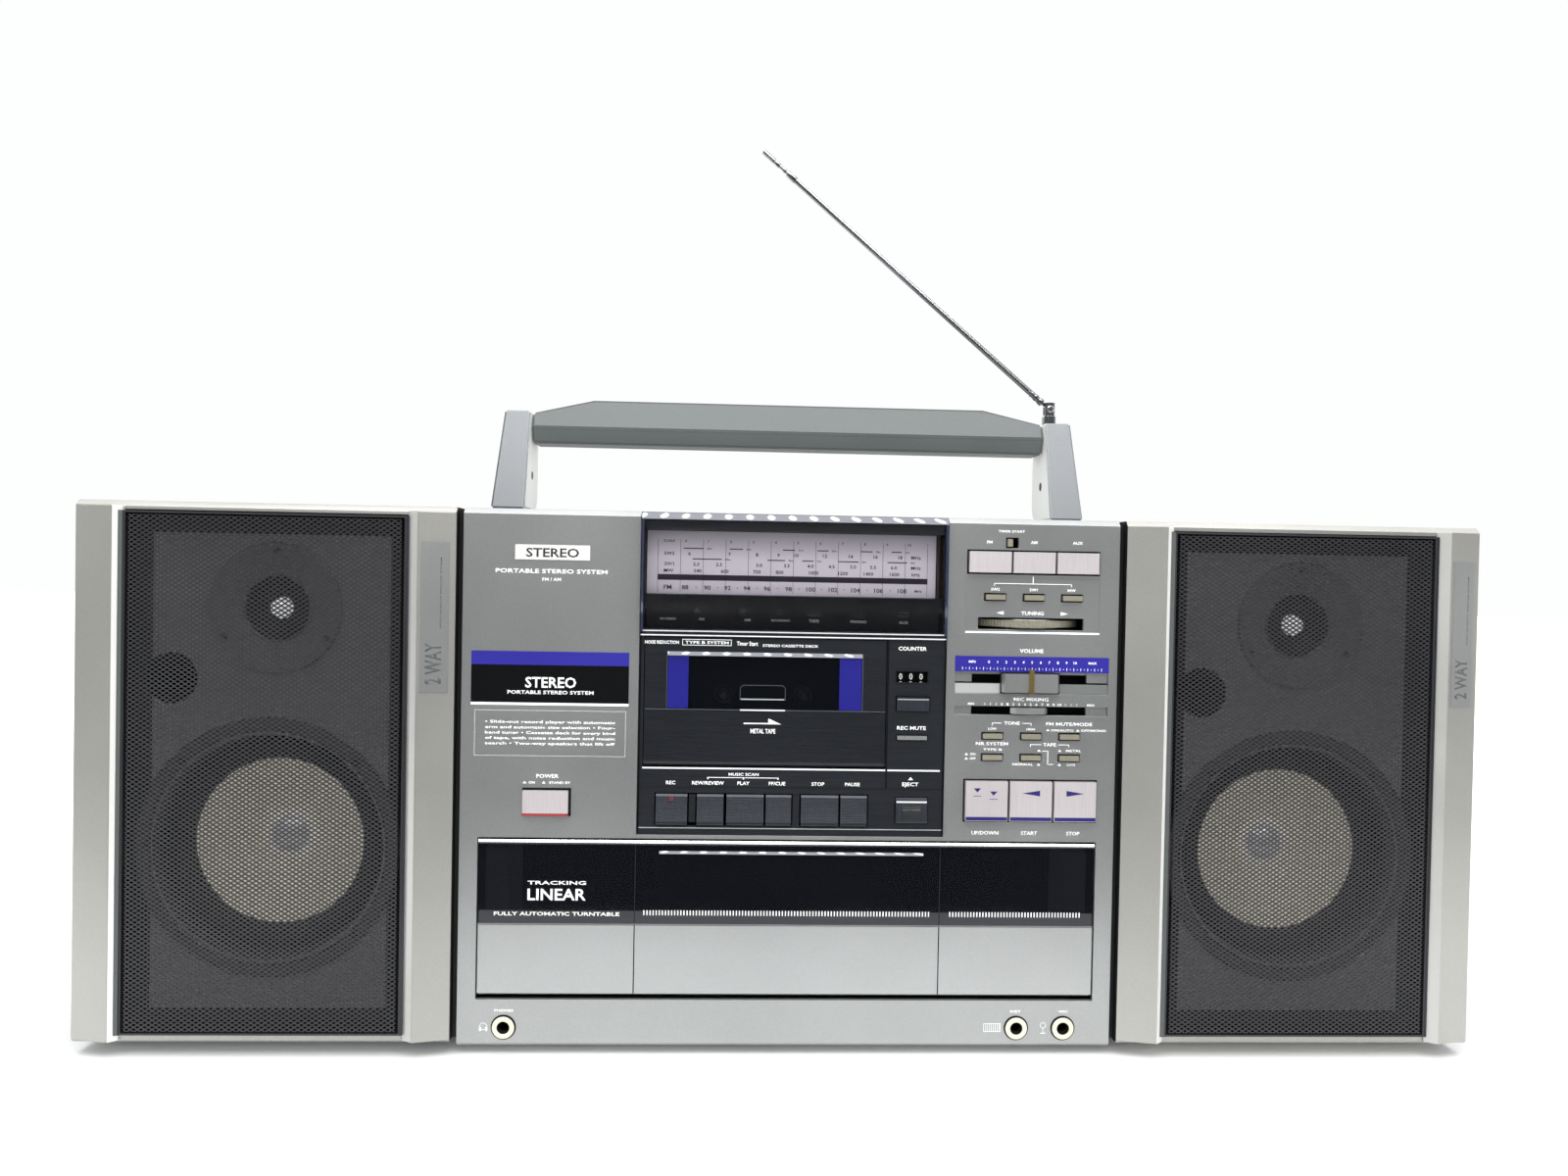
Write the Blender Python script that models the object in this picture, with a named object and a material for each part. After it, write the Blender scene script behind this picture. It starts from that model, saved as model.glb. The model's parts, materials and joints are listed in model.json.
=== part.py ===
"""Portable stereo: a centre unit with tuner, cassette deck and glide-out record drawer,
two lift-off speakers, a folding handle and a telescopic antenna.

Lengths are in millimetres and are turned into metres when a mesh is made.
X runs to the viewer's right, Z is up from the floor, and a depth is measured backwards
from the centre unit's front face. The model's origin is under the middle of the whole set.
"""
import math

import bmesh
import bpy
from mathutils import Vector

MM = 0.001
GAP = 0.3                    # clearance between neighbouring pieces
PAST = 5.0                   # how far a cutter reaches past the face that it opens

AXES = {"X": Vector((1, 0, 0)), "Y": Vector((0, 1, 0)), "Z": Vector((0, 0, 1))}

# Centre unit
UNIT_HALF = 170.5
UNIT_DEPTH = 195.5
FACE_BOTTOM = 6.0
FACE_TOP = 279.2
BODY_BOTTOM = 4.5
BODY_TOP = 282.0
FASCIA_DEPTH = 12.0
FASCIA_SKIN = 3.0
FASCIA_RIM = 2.5
SHELL = 3.0
SHELL_FRONT = FASCIA_DEPTH + GAP
SHELF = (113.6, 116.0)       # floor between the record bay and the deck
FOOT_RADIUS = 9.0

# Speakers
SPEAKER_GAP = 3.2
SPEAKER_WIDTH = 189.4
SPEAKER_REAR = 190.0
SPEAKER_CORNER = -2.1        # depth of the outer front corners
SPEAKER_NOSE = -6.5          # depth of the pillars' inner edges, the foremost points
SPEAKER_FACE_BOTTOM = 8.3
SPEAKER_BOTTOM = 6.8
SPEAKER_TOP = 282.0
SPEAKER_FACE_TOP = 279.3
SIDE_STEP = 2.8              # the case behind the bezel is this much narrower on each side
BEZEL_DEPTH = 25.0
BAFFLE = (6.0, 14.0)
GRILLE_X = (24.6, 165.1)
GRILLE_Z = (11.5, 276.8)
DRIVER_X = 94.2              # woofer centre from the speaker's left side
WOOFER_Z = 105.0
TWEETER_X = 96.7
TWEETER_Z = 228.4
PORT_X = 44.5
PORT_Z = 191.8
PORT_RADIUS = 13.2
RAIL_Z = (40.0, 150.0)
RAIL_DEPTH = 100.0

# Centre column: tuner on top, cassette deck below
COLUMN_HALF = 80.0
COLUMN_BOTTOM = 114.6
COLUMN_FACE = 0.3
DIAL_Z = (220.0, 281.4)
DOOR_X = (-77.0, 48.6)
DOOR_Z = (149.8, 217.0)
DOOR_DEPTH = (0.8, 6.8)
DOOR_PIVOT = (3.8, 152.8)    # depth and height
WELL_X = (-70.0, 40.5)
WELL_Z = (150.2, 216.8)
WELL_REAR = 22.0
SPINDLE_X = (-36.1, 6.5)     # 42.6 apart, as the cassette's hubs are
SPINDLE_Z = 186.0
KEY_Z = (119.9, 135.9)
KEYS = {
    "key_record": (-70.2, -53.7),
    "key_rewind": (-49.0, -34.9),
    "key_play": (-33.7, -14.1),
    "key_forward": (-13.3, 0.2),
    "key_stop": (5.0, 24.8),
    "key_pause": (25.6, 39.7),
}
KEY_DEPTH = (-1.5, 11.5)
COUNTER_Z = 198.3
COUNTER_X = (54.0, 70.2)
COUNTER_DEPTH = 11.2         # the drum's axis
COUNTER_RADIUS = 7.0
EJECT_X, EJECT_Z = (54.7, 71.2), (121.9, 135.1)
RESET_X, RESET_Z = (54.2, 71.3), (180.7, 187.8)
MUTE_X, MUTE_Z = (54.6, 70.6), (165.4, 167.8)
DIAL_PLATE_X, DIAL_PLATE_Z = (-77.3, 74.8), (239.5, 272.5)
DIAL_PLATE_DEPTH = (8.4, 9.8)
POINTER_X, POINTER_Z = (75.1, 76.3), (237.5, 273.5)
POINTER_DEPTH = (5.2, 6.2)
CASSETTE_LUG_Z = (154.0, 190.0)   # the door's side channels that hold a cassette
CHASSIS_Z = (146.0, 219.0)
ROLLER_RADIUS = 5.5
MOTOR_RADIUS = 16.0
FLYWHEEL_RADIUS = 20.0

# Buttons in the silver fascia: x from and to, z from and to
SOURCE_X = 90.3
SOURCE_PITCH = 23.2
SOURCE_Z = (253.4, 265.0)
DECK_BUTTON_X = 90.7
DECK_BUTTON_PITCH = 23.4
DECK_BUTTON_Z = (123.5, 144.9)
POWER_X = (-138.3, -115.0)
POWER_Z = (124.2, 137.2)
SMALL_WIDTH = 11.0
SMALL_HEIGHT = 3.4
SMALL_COLUMNS = (99.5, 119.9, 140.2)
BAND_ROW = 239.2
TONE_ROW = 166.4
TAPE_ROW = 155.2
WHEEL_CENTRE = (124.2, 30.5)
WHEEL_RADIUS = 32.0
WHEEL_Z = (224.9, 229.4)
VOLUME_SLOT_X = (84.6, 165.8)
VOLUME_SLOT_Z = (190.4, 201.9)
MIC_SLOT_Z = (179.2, 183.8)
SLIDER_CENTRE = 124.0
JACK_X = (-146.5, 120.8, 145.6)
JACK_Z = 14.2
JACK_RADIUS = 6.0
JACK_BORE = 3.2
TIMER_X, TIMER_Z = (110.6, 113.6), (267.2, 271.6)
TIMER_TRAVEL = 2.8

# Inside and behind the case
FOOT_X = 148.0
FOOT_DEPTHS = (28.0, 168.0)
INLET_X, INLET_Z = (-138.0, -114.0), (132.0, 148.0)
INLET_FLOOR = 178.0
DRAWER_RAIL_Z = (26.6, 29.3)
HANDLE_LUG_X = (159.4, 165.6)
HANDLE_LUG_DEPTH = (91.5, 111.5)
HANDLE_LUG_TOP = 306.5
SIDE_STRIP_X = 173.3         # the strips that close the gap to each speaker
BOARD_X, BOARD_Z = (-155.0, 155.0), (126.0, 272.0)
BOARD_DEPTH = 120.0

# Record drawer
BAY_X = 161.2
BAY_Z = (28.5, 112.6)
DRAWER_HALF = 160.6
DRAWER_Z = (29.9, 67.1)
WINDOW_TOP = 111.4
DRAWER_FACE = (1.0, 4.0)
TRAY_REAR = 177.5
PLATTER_DEPTH = 91.0
PLATTER_RADIUS = 75.0
ARM_X = 153.0

# Handle and antenna
HANDLE_PIVOT = (101.5, 297.5)
HANDLE_INNER = 153.2
HANDLE_FOOT_X = 172.7
HANDLE_HEAD_X = 168.2
HANDLE_TOP = 344.2
HANDLE_FOOT_Z = 285.6
HANDLE_REAR = 115.0
HANDLE_SLOT_X = (158.8, 166.2)
GRIP_OUTLINE = ((92.0, 325.6), (88.3, 334.6), (97.0, 352.4), (110.0, 352.4), (114.0, 346.0), (114.0, 325.6))
GRIP_SLOPE = ((117.5, 352.4), (117.5, 360.0), (160.0, 360.0), (160.0, 341.9))   # x and z of its cut-away ends
PIVOT_RADIUS = 13.5
ANTENNA_PIVOT = (160.5, 106.0, 355.0)
ANTENNA_RISE = 40.4          # degrees above level, as it stands


# ---------------------------------------------------------------- shapes

def box(x, y, z):
    """A box from three (low, high) spans."""
    def build(bm):
        corners = [bm.verts.new((a * MM, b * MM, c * MM)) for a in sorted(x) for b in sorted(y) for c in sorted(z)]
        for face in ((0, 1, 3, 2), (4, 6, 7, 5), (0, 4, 5, 1), (2, 3, 7, 6), (0, 2, 6, 4), (1, 5, 7, 3)):
            bm.faces.new([corners[i] for i in face])
    return build


def prism(axis, outline, span):
    """An outline in the plane across an axis, drawn out along that axis over a span."""
    order = {"X": (2, 0, 1), "Y": (0, 2, 1), "Z": (0, 1, 2)}[axis]

    def build(bm):
        rings = []
        for reach in span:
            ring = []
            for point in outline:
                values = (point[0], point[1], reach)
                ring.append(bm.verts.new([values[i] * MM for i in order]))
            rings.append(ring)
        bm.faces.new(rings[0])
        bm.faces.new(list(reversed(rings[1])))
        for i in range(len(outline)):
            j = (i + 1) % len(outline)
            bm.faces.new((rings[0][i], rings[1][i], rings[1][j], rings[0][j]))
    return build


def turned(axis, centre, profile, sides=24):
    """A profile of (radius, distance along the axis) points, turned about the axis.

    The profile starts and ends on the axis."""
    along = AXES[axis] if isinstance(axis, str) else axis
    turn = along.to_track_quat("Z", "Y").to_matrix()

    def build(bm):
        middle = Vector(centre)
        rings = []
        for radius, reach in profile:
            if radius == 0:
                rings.append([bm.verts.new((middle + along * reach) * MM)])
                continue
            ring = []
            for k in range(sides):
                angle = 2 * math.pi * k / sides
                spoke = turn @ Vector((math.cos(angle), math.sin(angle), 0))
                ring.append(bm.verts.new((middle + along * reach + spoke * radius) * MM))
            rings.append(ring)
        for low, high in zip(rings, rings[1:]):
            for k in range(sides):
                n = (k + 1) % sides
                corners = [low[k % len(low)], low[n % len(low)], high[n % len(high)], high[k % len(high)]]
                bm.faces.new(list(dict.fromkeys(corners)))
    return build


def cylinder(axis, centre, radius, span, sides=24):
    """A round bar along an axis; the span is added to the centre's place on that axis."""
    return turned(axis, centre, [(0, span[0]), (radius, span[0]), (radius, span[1]), (0, span[1])], sides)


def mesh_from(name, shape, pivot):
    """A mesh of one shape, with its vertices counted from the pivot."""
    bm = bmesh.new()
    shape(bm)
    bmesh.ops.recalc_face_normals(bm, faces=bm.faces)
    bmesh.ops.translate(bm, verts=bm.verts, vec=-Vector(pivot) * MM)
    mesh = bpy.data.meshes.new(name)
    bm.to_mesh(mesh)
    bm.free()
    return mesh


def material(name, colour, roughness, metallic=0.0, alpha=1.0):
    made = bpy.data.materials.new(name)
    made.use_nodes = True
    shader = made.node_tree.nodes["Principled BSDF"]
    shader.inputs["Base Color"].default_value = (*colour, 1.0)
    shader.inputs["Roughness"].default_value = roughness
    shader.inputs["Metallic"].default_value = metallic
    shader.inputs["Alpha"].default_value = alpha
    return made


def place(name, mesh, pivot):
    thing = bpy.data.objects.new(name, mesh)
    thing.location = Vector(pivot) * MM
    thing.parent = FRAME
    bpy.context.scene.collection.objects.link(thing)
    return thing


def piece(name, look, shape, steps=(), pivot=(0, 0, 0)):
    """One named piece: a first shape, then steps that join or cut more shapes."""
    made = place(name, mesh_from(name, shape, pivot), pivot)
    made.data.materials.append(look)
    made.data.shade_smooth()
    made.data.set_sharp_from_angle(angle=math.radians(35))
    for number, (action, other) in enumerate(steps):
        guide = place(f"{name}_{action}_{number}", mesh_from(name, other, (0, 0, 0)), (0, 0, 0))
        guide.hide_render = True
        guide.display_type = "WIRE"
        boolean = made.modifiers.new(guide.name, "BOOLEAN")
        boolean.operation = {"join": "UNION", "cut": "DIFFERENCE"}[action]
        boolean.solver = "EXACT"
        boolean.object = guide
    return made


def span(side, near, far):
    """An x span at the same distance from the middle, on one side."""
    return (side * near, side * far)


# ---------------------------------------------------------------- centre unit

def button(name, look, x, z, depth):
    """A push button: a plain block that stands through its hole."""
    return piece(name, look, box(x, depth, z), pivot=((x[0] + x[1]) / 2, depth[0], (z[0] + z[1]) / 2))


def hole(x, z, margin=0.4):
    """A cutter through the fascia's skin around a button."""
    return box((x[0] - margin, x[1] + margin), (-PAST, FASCIA_SKIN + 1), (z[0] - margin, z[1] + margin))


def small_button_spots():
    """Name, x span and z span of the nine small flat buttons."""
    rows = (
        (BAND_ROW, ("band_button_sw2", "band_button_sw1", "band_button_mw")),
        (TONE_ROW, ("tone_low_button", "tone_high_button", "mode_button")),
        (TAPE_ROW, ("noise_button", "tape_button_a", "tape_button_b")),
    )
    spots = []
    for low, names in rows:
        for name, left in zip(names, SMALL_COLUMNS):
            spots.append((name, (left, left + SMALL_WIDTH), (low, low + SMALL_HEIGHT)))
    return spots


def front_panel():
    side_outline = [
        (0, FACE_BOTTOM), (0, FACE_TOP), (2.8, BODY_TOP), (FASCIA_DEPTH, BODY_TOP),
        (FASCIA_DEPTH, BODY_BOTTOM), (1.5, BODY_BOTTOM),
    ]
    inner = UNIT_HALF - FASCIA_RIM
    row_end = SOURCE_X + 3 * SOURCE_PITCH - 0.4
    deck_end = DECK_BUTTON_X + 3 * DECK_BUTTON_PITCH - 0.5
    wheel_slot_x = (WHEEL_CENTRE[0] - 28.0, WHEEL_CENTRE[0] + 28.0)
    cuts = [
        box((-inner, inner), (FASCIA_SKIN, FASCIA_DEPTH + PAST), (BODY_BOTTOM + FASCIA_RIM, BODY_TOP - FASCIA_RIM)),
        box((-COLUMN_HALF, COLUMN_HALF), (-PAST, FASCIA_DEPTH + PAST), (COLUMN_BOTTOM, BODY_TOP + PAST)),
        box((-BAY_X, BAY_X), (-PAST, FASCIA_DEPTH), BAY_Z),
        hole(POWER_X, POWER_Z),
        hole((SOURCE_X, row_end), SOURCE_Z),
        hole((DECK_BUTTON_X, deck_end), DECK_BUTTON_Z),
        hole((TIMER_X[0] - 0.2, TIMER_X[1] + TIMER_TRAVEL), (TIMER_Z[0] - 0.2, TIMER_Z[1] + 0.2)),
        box(wheel_slot_x, (-PAST, FASCIA_SKIN + 1), (WHEEL_Z[0] - 0.9, WHEEL_Z[1] + 0.9)),
        box(VOLUME_SLOT_X, (-PAST, FASCIA_SKIN + 1), VOLUME_SLOT_Z),
        box(VOLUME_SLOT_X, (-PAST, FASCIA_SKIN + 1), MIC_SLOT_Z),
    ]
    cuts += [hole(x, z) for _, x, z in small_button_spots()]
    cuts += [cylinder("Y", (x, 0, JACK_Z), JACK_RADIUS + 0.4, (-PAST, FASCIA_SKIN + 1), 20) for x in JACK_X]
    piece("front_panel", SILVER, prism("X", side_outline, (-UNIT_HALF, UNIT_HALF)), [("cut", c) for c in cuts])


def rear_cabinet():
    inner = UNIT_HALF - SHELL
    rear = UNIT_DEPTH - SHELL
    steps = [
        ("cut", box((-inner, inner), (0, rear), (BODY_BOTTOM + SHELL, BODY_TOP - SHELL))),
        ("join", box((-inner - 1, inner + 1), (24, rear + 1), SHELF)),
    ]
    for side in (1, -1):
        steps += [
            ("join", box(span(side, 157.0, inner + 1), (16, 190), DRAWER_RAIL_Z)),
            ("join", box(span(side, *HANDLE_LUG_X), HANDLE_LUG_DEPTH, (BODY_TOP - 1, HANDLE_LUG_TOP))),
            ("join", box(span(side, inner + 1, 182.5), (RAIL_DEPTH - 2.8, RAIL_DEPTH + 2.8), RAIL_Z)),
            ("join", box(span(side, 179.5, 182.5), (RAIL_DEPTH - 6.8, RAIL_DEPTH + 6.8), RAIL_Z)),
            ("join", box(span(side, inner + 1, SIDE_STRIP_X), (SHELL_FRONT, 16), (8, 280.5))),
            ("join", box(span(side, UNIT_HALF + GAP, SIDE_STRIP_X), (2.5, 15), (8, 280.5))),
        ]
        for depth in FOOT_DEPTHS:
            steps.append(("join", cylinder("Z", (side * FOOT_X, depth, 0), FOOT_RADIUS, (0, BODY_BOTTOM + 1), 20)))
    cup_x = (INLET_X[0] - 4, INLET_X[1] + 4)
    cup_z = (INLET_Z[0] - 4, INLET_Z[1] + 4)
    steps += [
        ("join", box(cup_x, (INLET_FLOOR - 4, rear + 1), cup_z)),
        ("cut", box(INLET_X, (INLET_FLOOR, UNIT_DEPTH + PAST), INLET_Z)),
    ]
    piece("rear_cabinet", GREY, box((-UNIT_HALF, UNIT_HALF), (SHELL_FRONT, UNIT_DEPTH), (BODY_BOTTOM, BODY_TOP)), steps)


def deck_panel():
    half = COLUMN_HALF - GAP
    top = BODY_TOP - GAP
    plate_rear = 3.5
    steps = [
        ("join", box((-half, half), (COLUMN_FACE, 11.7), (218.8, top))),
        ("join", box((-half, 51.5), (COLUMN_FACE, WELL_REAR), (147.2, 219.4))),
        ("cut", box((-77.8, 77.8), (-PAST, 10.5), (221.5, 278.5))),
        ("cut", box((DOOR_X[0] - 0.4, DOOR_X[1] + 0.4), (-PAST, 7.2), (149.4, 217.4))),
        ("cut", box(WELL_X, (-PAST, WELL_REAR + PAST), WELL_Z)),
        ("cut", cylinder("X", (0, *DOOR_PIVOT), 1.7, (DOOR_X[0] - 2.0, DOOR_X[1] + 2.0), 12)),
        ("cut", hole((KEYS["key_record"][0], KEYS["key_forward"][1]), KEY_Z, 0.6)),
        ("cut", hole((KEYS["key_stop"][0], KEYS["key_pause"][1]), KEY_Z, 0.6)),
        ("cut", hole(EJECT_X, EJECT_Z)),
        ("cut", hole(COUNTER_X, (COUNTER_Z - 2.9, COUNTER_Z + 2.9))),
        ("cut", hole(RESET_X, RESET_Z)),
        ("cut", hole(MUTE_X, MUTE_Z)),
    ]
    piece("deck_panel", BLACK, box((-half, half), (COLUMN_FACE, plate_rear), (COLUMN_BOTTOM + GAP, top)), steps)


def tuner():
    piece("tuner_window", CLEAR, box((-79.3, 79.3), (-3.0, 0.0), DIAL_Z))
    piece("dial_plate", WHITE, box(DIAL_PLATE_X, DIAL_PLATE_DEPTH, DIAL_PLATE_Z))
    middle = (sum(POINTER_X) / 2, POINTER_DEPTH[0], sum(POINTER_Z) / 2)
    piece("dial_pointer", ORANGE, box(POINTER_X, POINTER_DEPTH, POINTER_Z), pivot=middle)
    hub_top = WHEEL_Z[1] + 6.0
    middle = (*WHEEL_CENTRE, 0)
    wheel = [
        (0, WHEEL_Z[0] - 4), (5, WHEEL_Z[0] - 4), (5, WHEEL_Z[0]), (WHEEL_RADIUS, WHEEL_Z[0]),
        (WHEEL_RADIUS, WHEEL_Z[1]), (7.85, WHEEL_Z[1]), (7.85, hub_top), (0, hub_top),
    ]
    piece("tuning_wheel", BLACK, turned("Z", middle, wheel, 40), pivot=(*WHEEL_CENTRE, WHEEL_Z[0]))


def cassette_door():
    """A flap with a rounded lower edge, two side channels for the cassette and two stub pins."""
    depth, height = DOOR_PIVOT
    radius = depth - DOOR_DEPTH[0]
    outline = [(DOOR_DEPTH[0], DOOR_Z[1]), (DOOR_DEPTH[1], DOOR_Z[1])]
    for k in range(7):
        angle = math.pi * k / 6
        outline.append((depth + radius * math.cos(angle), height - radius * math.sin(angle)))
    steps = [("join", cylinder("X", (0, *DOOR_PIVOT), 1.35, (DOOR_X[0] - 1.6, DOOR_X[1] + 1.6), 12))]
    for wall, lip in (((-69.2, -67.2), (-69.2, -64.8)), ((37.5, 39.5), (35.1, 39.5))):
        steps.append(("join", box(wall, (DOOR_DEPTH[1] - 0.5, 20.5), CASSETTE_LUG_Z)))
        steps.append(("join", box(lip, (19.3, 20.5), CASSETTE_LUG_Z)))
    piece("cassette_door", BLACK, prism("X", outline, DOOR_X), steps, pivot=(0, *DOOR_PIVOT))


def tape_mechanism():
    """The chassis plate behind the cassette, with the head bridge, pinch rollers and motor."""
    head_x = sum(SPINDLE_X) / 2
    steps = [
        ("join", box((head_x - 17, head_x + 17), (11, 23), (151.0, 155))),
        ("join", box((head_x - 5, head_x + 5), (11, 23), (154, 164))),
        ("join", cylinder("Y", (head_x - 24, 0, 160), ROLLER_RADIUS, (12, 23), 16)),
        ("join", cylinder("Y", (head_x + 24, 0, 160), ROLLER_RADIUS, (12, 23), 16)),
        ("join", cylinder("Y", (28, 0, 165), MOTOR_RADIUS, (24, 52), 24)),
        ("join", cylinder("Y", (head_x, 0, 164), FLYWHEEL_RADIUS, (24, 31), 24)),
    ]
    steps += [("cut", cylinder("Y", (x, 0, SPINDLE_Z), 3.8, (20, 40), 16)) for x in SPINDLE_X]
    piece("tape_mechanism", STEEL, box((-72, 46), (WELL_REAR + 0.4, 25), CHASSIS_Z), steps)
    for name, x in zip(("spindle_left", "spindle_right"), SPINDLE_X):
        shaft = [(0, 10.5), (2.2, 10.5), (3.2, 13.0), (3.2, 26.0), (9.5, 26.0), (9.5, 28.5), (0, 28.5)]
        piece(name, WHITE, turned("Y", (x, 0, SPINDLE_Z), shaft, 18), pivot=(x, 10.5, SPINDLE_Z))


def deck_controls():
    for name, x in KEYS.items():
        button(name, BLACK, x, KEY_Z, KEY_DEPTH)
    button("key_eject", BLACK, EJECT_X, EJECT_Z, KEY_DEPTH)
    button("counter_reset_button", BLACK, RESET_X, RESET_Z, (-1.2, 10.0))
    button("record_mute_button", GREY, MUTE_X, MUTE_Z, (-1.0, 10.0))
    drum = cylinder("X", (0, COUNTER_DEPTH, COUNTER_Z), COUNTER_RADIUS, COUNTER_X, 30)
    piece("counter_drum", WHITE, drum, pivot=(COUNTER_X[0], COUNTER_DEPTH, COUNTER_Z))


def fascia_controls():
    button("power_button", PEARL, POWER_X, POWER_Z, (-2.0, 10.0))
    for number, name in enumerate(("fm", "am", "aux")):
        left = SOURCE_X + number * SOURCE_PITCH
        button(f"source_button_{name}", PEARL, (left, left + SOURCE_PITCH - 0.4), SOURCE_Z, (-2.0, 9.0))
    for number, name in enumerate(("updown", "start", "stop")):
        left = DECK_BUTTON_X + number * DECK_BUTTON_PITCH
        button(f"turntable_{name}_button", PEARL, (left, left + DECK_BUTTON_PITCH - 0.5), DECK_BUTTON_Z, (-2.5, 9.0))
    for name, x, z in small_button_spots():
        button(name, BEIGE, x, z, (-1.2, 9.0))
    middle = (sum(TIMER_X) / 2, -1.0, sum(TIMER_Z) / 2)
    piece("timer_switch", GREY, box(TIMER_X, (-1.0, 8.0), TIMER_Z), pivot=middle)
    for name, half, z, proud in (
        ("volume_slider", 15.1, (191.2, 201.0), -5.0),
        ("mic_slider", 10.0, (179.8, 183.2), -3.0),
    ):
        middle = SLIDER_CENTRE
        stem = box((middle - 4, middle + 4), (1, 11), (z[0] + 0.8, z[1] - 0.8))
        knob = box((middle - half, middle + half), (proud, 2.0), z)
        piece(name, SILVER, knob, [("join", stem)], pivot=(middle, proud, z[0]))


def jack_board():
    """One narrow circuit board along the bottom, with the three sockets on it."""
    steps = [("join", cylinder("Y", (x, 0, JACK_Z), JACK_RADIUS, (-0.8, 14.0), 20)) for x in JACK_X]
    steps += [("cut", cylinder("Y", (x, 0, JACK_Z), JACK_BORE, (-PAST, 30.0), 16)) for x in JACK_X]
    piece("jack_board", TAN, box((-156, 156), (13.4, 15.2), (8.2, 21.0)), steps)


def circuit_board():
    """The main board, standing behind the deck, with its transformer and its heat sink."""
    steps = [
        ("join", box((-150, -95), (101, 151), (185, 240))),
        ("join", box((60, 140), (121, 141), (135, 175))),
        ("join", box((-150, 150), (BOARD_DEPTH, BOARD_DEPTH + 3), (SHELF[1] + GAP, 131))),
    ]
    piece("circuit_board", GREEN, box(BOARD_X, (BOARD_DEPTH, BOARD_DEPTH + 1.6), BOARD_Z), steps)


# ---------------------------------------------------------------- record drawer

def drawer():
    face, back = DRAWER_FACE
    steps = [
        ("join", box((-DRAWER_HALF, DRAWER_HALF), (back - 1, TRAY_REAR), (33.0, 35.5))),
        ("join", box((-157, 157), (TRAY_REAR - 3, TRAY_REAR), (34, 66))),
        ("join", cylinder("Z", (0, PLATTER_DEPTH, 0), 12, (35, 39.6), 20)),
    ]
    for side in (1, -1):
        steps += [
            ("join", box(span(side, 158.2, DRAWER_HALF), (back - 1, TRAY_REAR), (DRAWER_Z[0], 56))),
            ("join", box(span(side, 157.8, DRAWER_HALF), (back - 1, 14), (55, 66.9))),
            ("join", box(span(side, 157.8, DRAWER_HALF), (back + GAP, 14), (66, 108))),
        ]
    half = DRAWER_HALF
    piece("drawer_tray", SILVER, box((-half, half), (face, back), DRAWER_Z), steps, pivot=(0, face, DRAWER_Z[0]))
    piece("drawer_window", SMOKE, box((-half, half), (face, back), (DRAWER_Z[1] + GAP, WINDOW_TOP)))
    disc = [
        (0, 40.0), (20, 40.0), (22, 42.0), (PLATTER_RADIUS, 42.0), (PLATTER_RADIUS, 46.0),
        (3.5, 46.0), (3.5, 56.0), (2.0, 58.0), (0, 58.0),
    ]
    piece("platter", BLACK, turned("Z", (0, PLATTER_DEPTH, 0), disc, 40), pivot=(0, PLATTER_DEPTH, 40))
    wall = (TRAY_REAR - 3, TRAY_REAR)
    arm_steps = [
        ("cut", box((130, 170), (wall[0] - 0.6, wall[1] + 0.6), (50, 66.6))),
        ("join", box((ARM_X - 1.8, ARM_X + 1.8), (92, 171), (62, 65.5))),
        ("join", box((ARM_X - 2.8, ARM_X + 2.8), (88, 98), (50, 66))),
    ]
    saddle = box((ARM_X - 6.5, ARM_X + 6.5), (wall[0] - 4, wall[1] + 4), (59, 71))
    piece("tonearm_carriage", GREY, saddle, arm_steps, pivot=(ARM_X, PLATTER_DEPTH, 62))


# ---------------------------------------------------------------- handle and antenna

def handle():
    depth, height = HANDLE_PIVOT
    outline = [(72.0, HANDLE_FOOT_Z), (87.0, HANDLE_TOP), (HANDLE_REAR, HANDLE_TOP)]
    foot_drop = math.asin((height - HANDLE_FOOT_Z) / PIVOT_RADIUS)
    for k in range(5):
        angle = foot_drop * k / 4
        outline.append((depth + PIVOT_RADIUS * math.cos(angle), height - PIVOT_RADIUS * math.sin(angle)))
    for side, name in ((1, "handle_arm_right"), (-1, "handle_arm_left")):
        taper = [
            (side * (HANDLE_FOOT_X + 0.4), HANDLE_FOOT_Z - 5), (side * HANDLE_HEAD_X, HANDLE_TOP),
            (side * HANDLE_HEAD_X, HANDLE_TOP + PAST), (side * 190, HANDLE_TOP + PAST), (side * 190, HANDLE_FOOT_Z - 5),
        ]
        slot_x = span(side, *HANDLE_SLOT_X)
        steps = [
            ("cut", prism("Y", taper, (60, 130))),
            ("cut", cylinder("X", (0, depth, height), 14.6, sorted(slot_x), 24)),
            ("cut", box(slot_x, (depth - 12, 130), (270, height + 11))),
            ("join", cylinder("X", (0, depth, height), 3.4, sorted(span(side, 170.0, 174.6)), 16)),
        ]
        piece(name, SILVER, prism("X", outline, sorted(span(side, HANDLE_INNER, 176))), steps, pivot=(0, *HANDLE_PIVOT))
    end = HANDLE_INNER - GAP
    steps = []
    for side in (1, -1):
        slope = [(side * x, z) for x, z in GRIP_SLOPE]
        steps.append(("cut", prism("Y", slope, (80, 130))))
    piece("handle_grip", GREY, prism("X", GRIP_OUTLINE, (-end, end)), steps, pivot=(0, *HANDLE_PIVOT))


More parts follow.
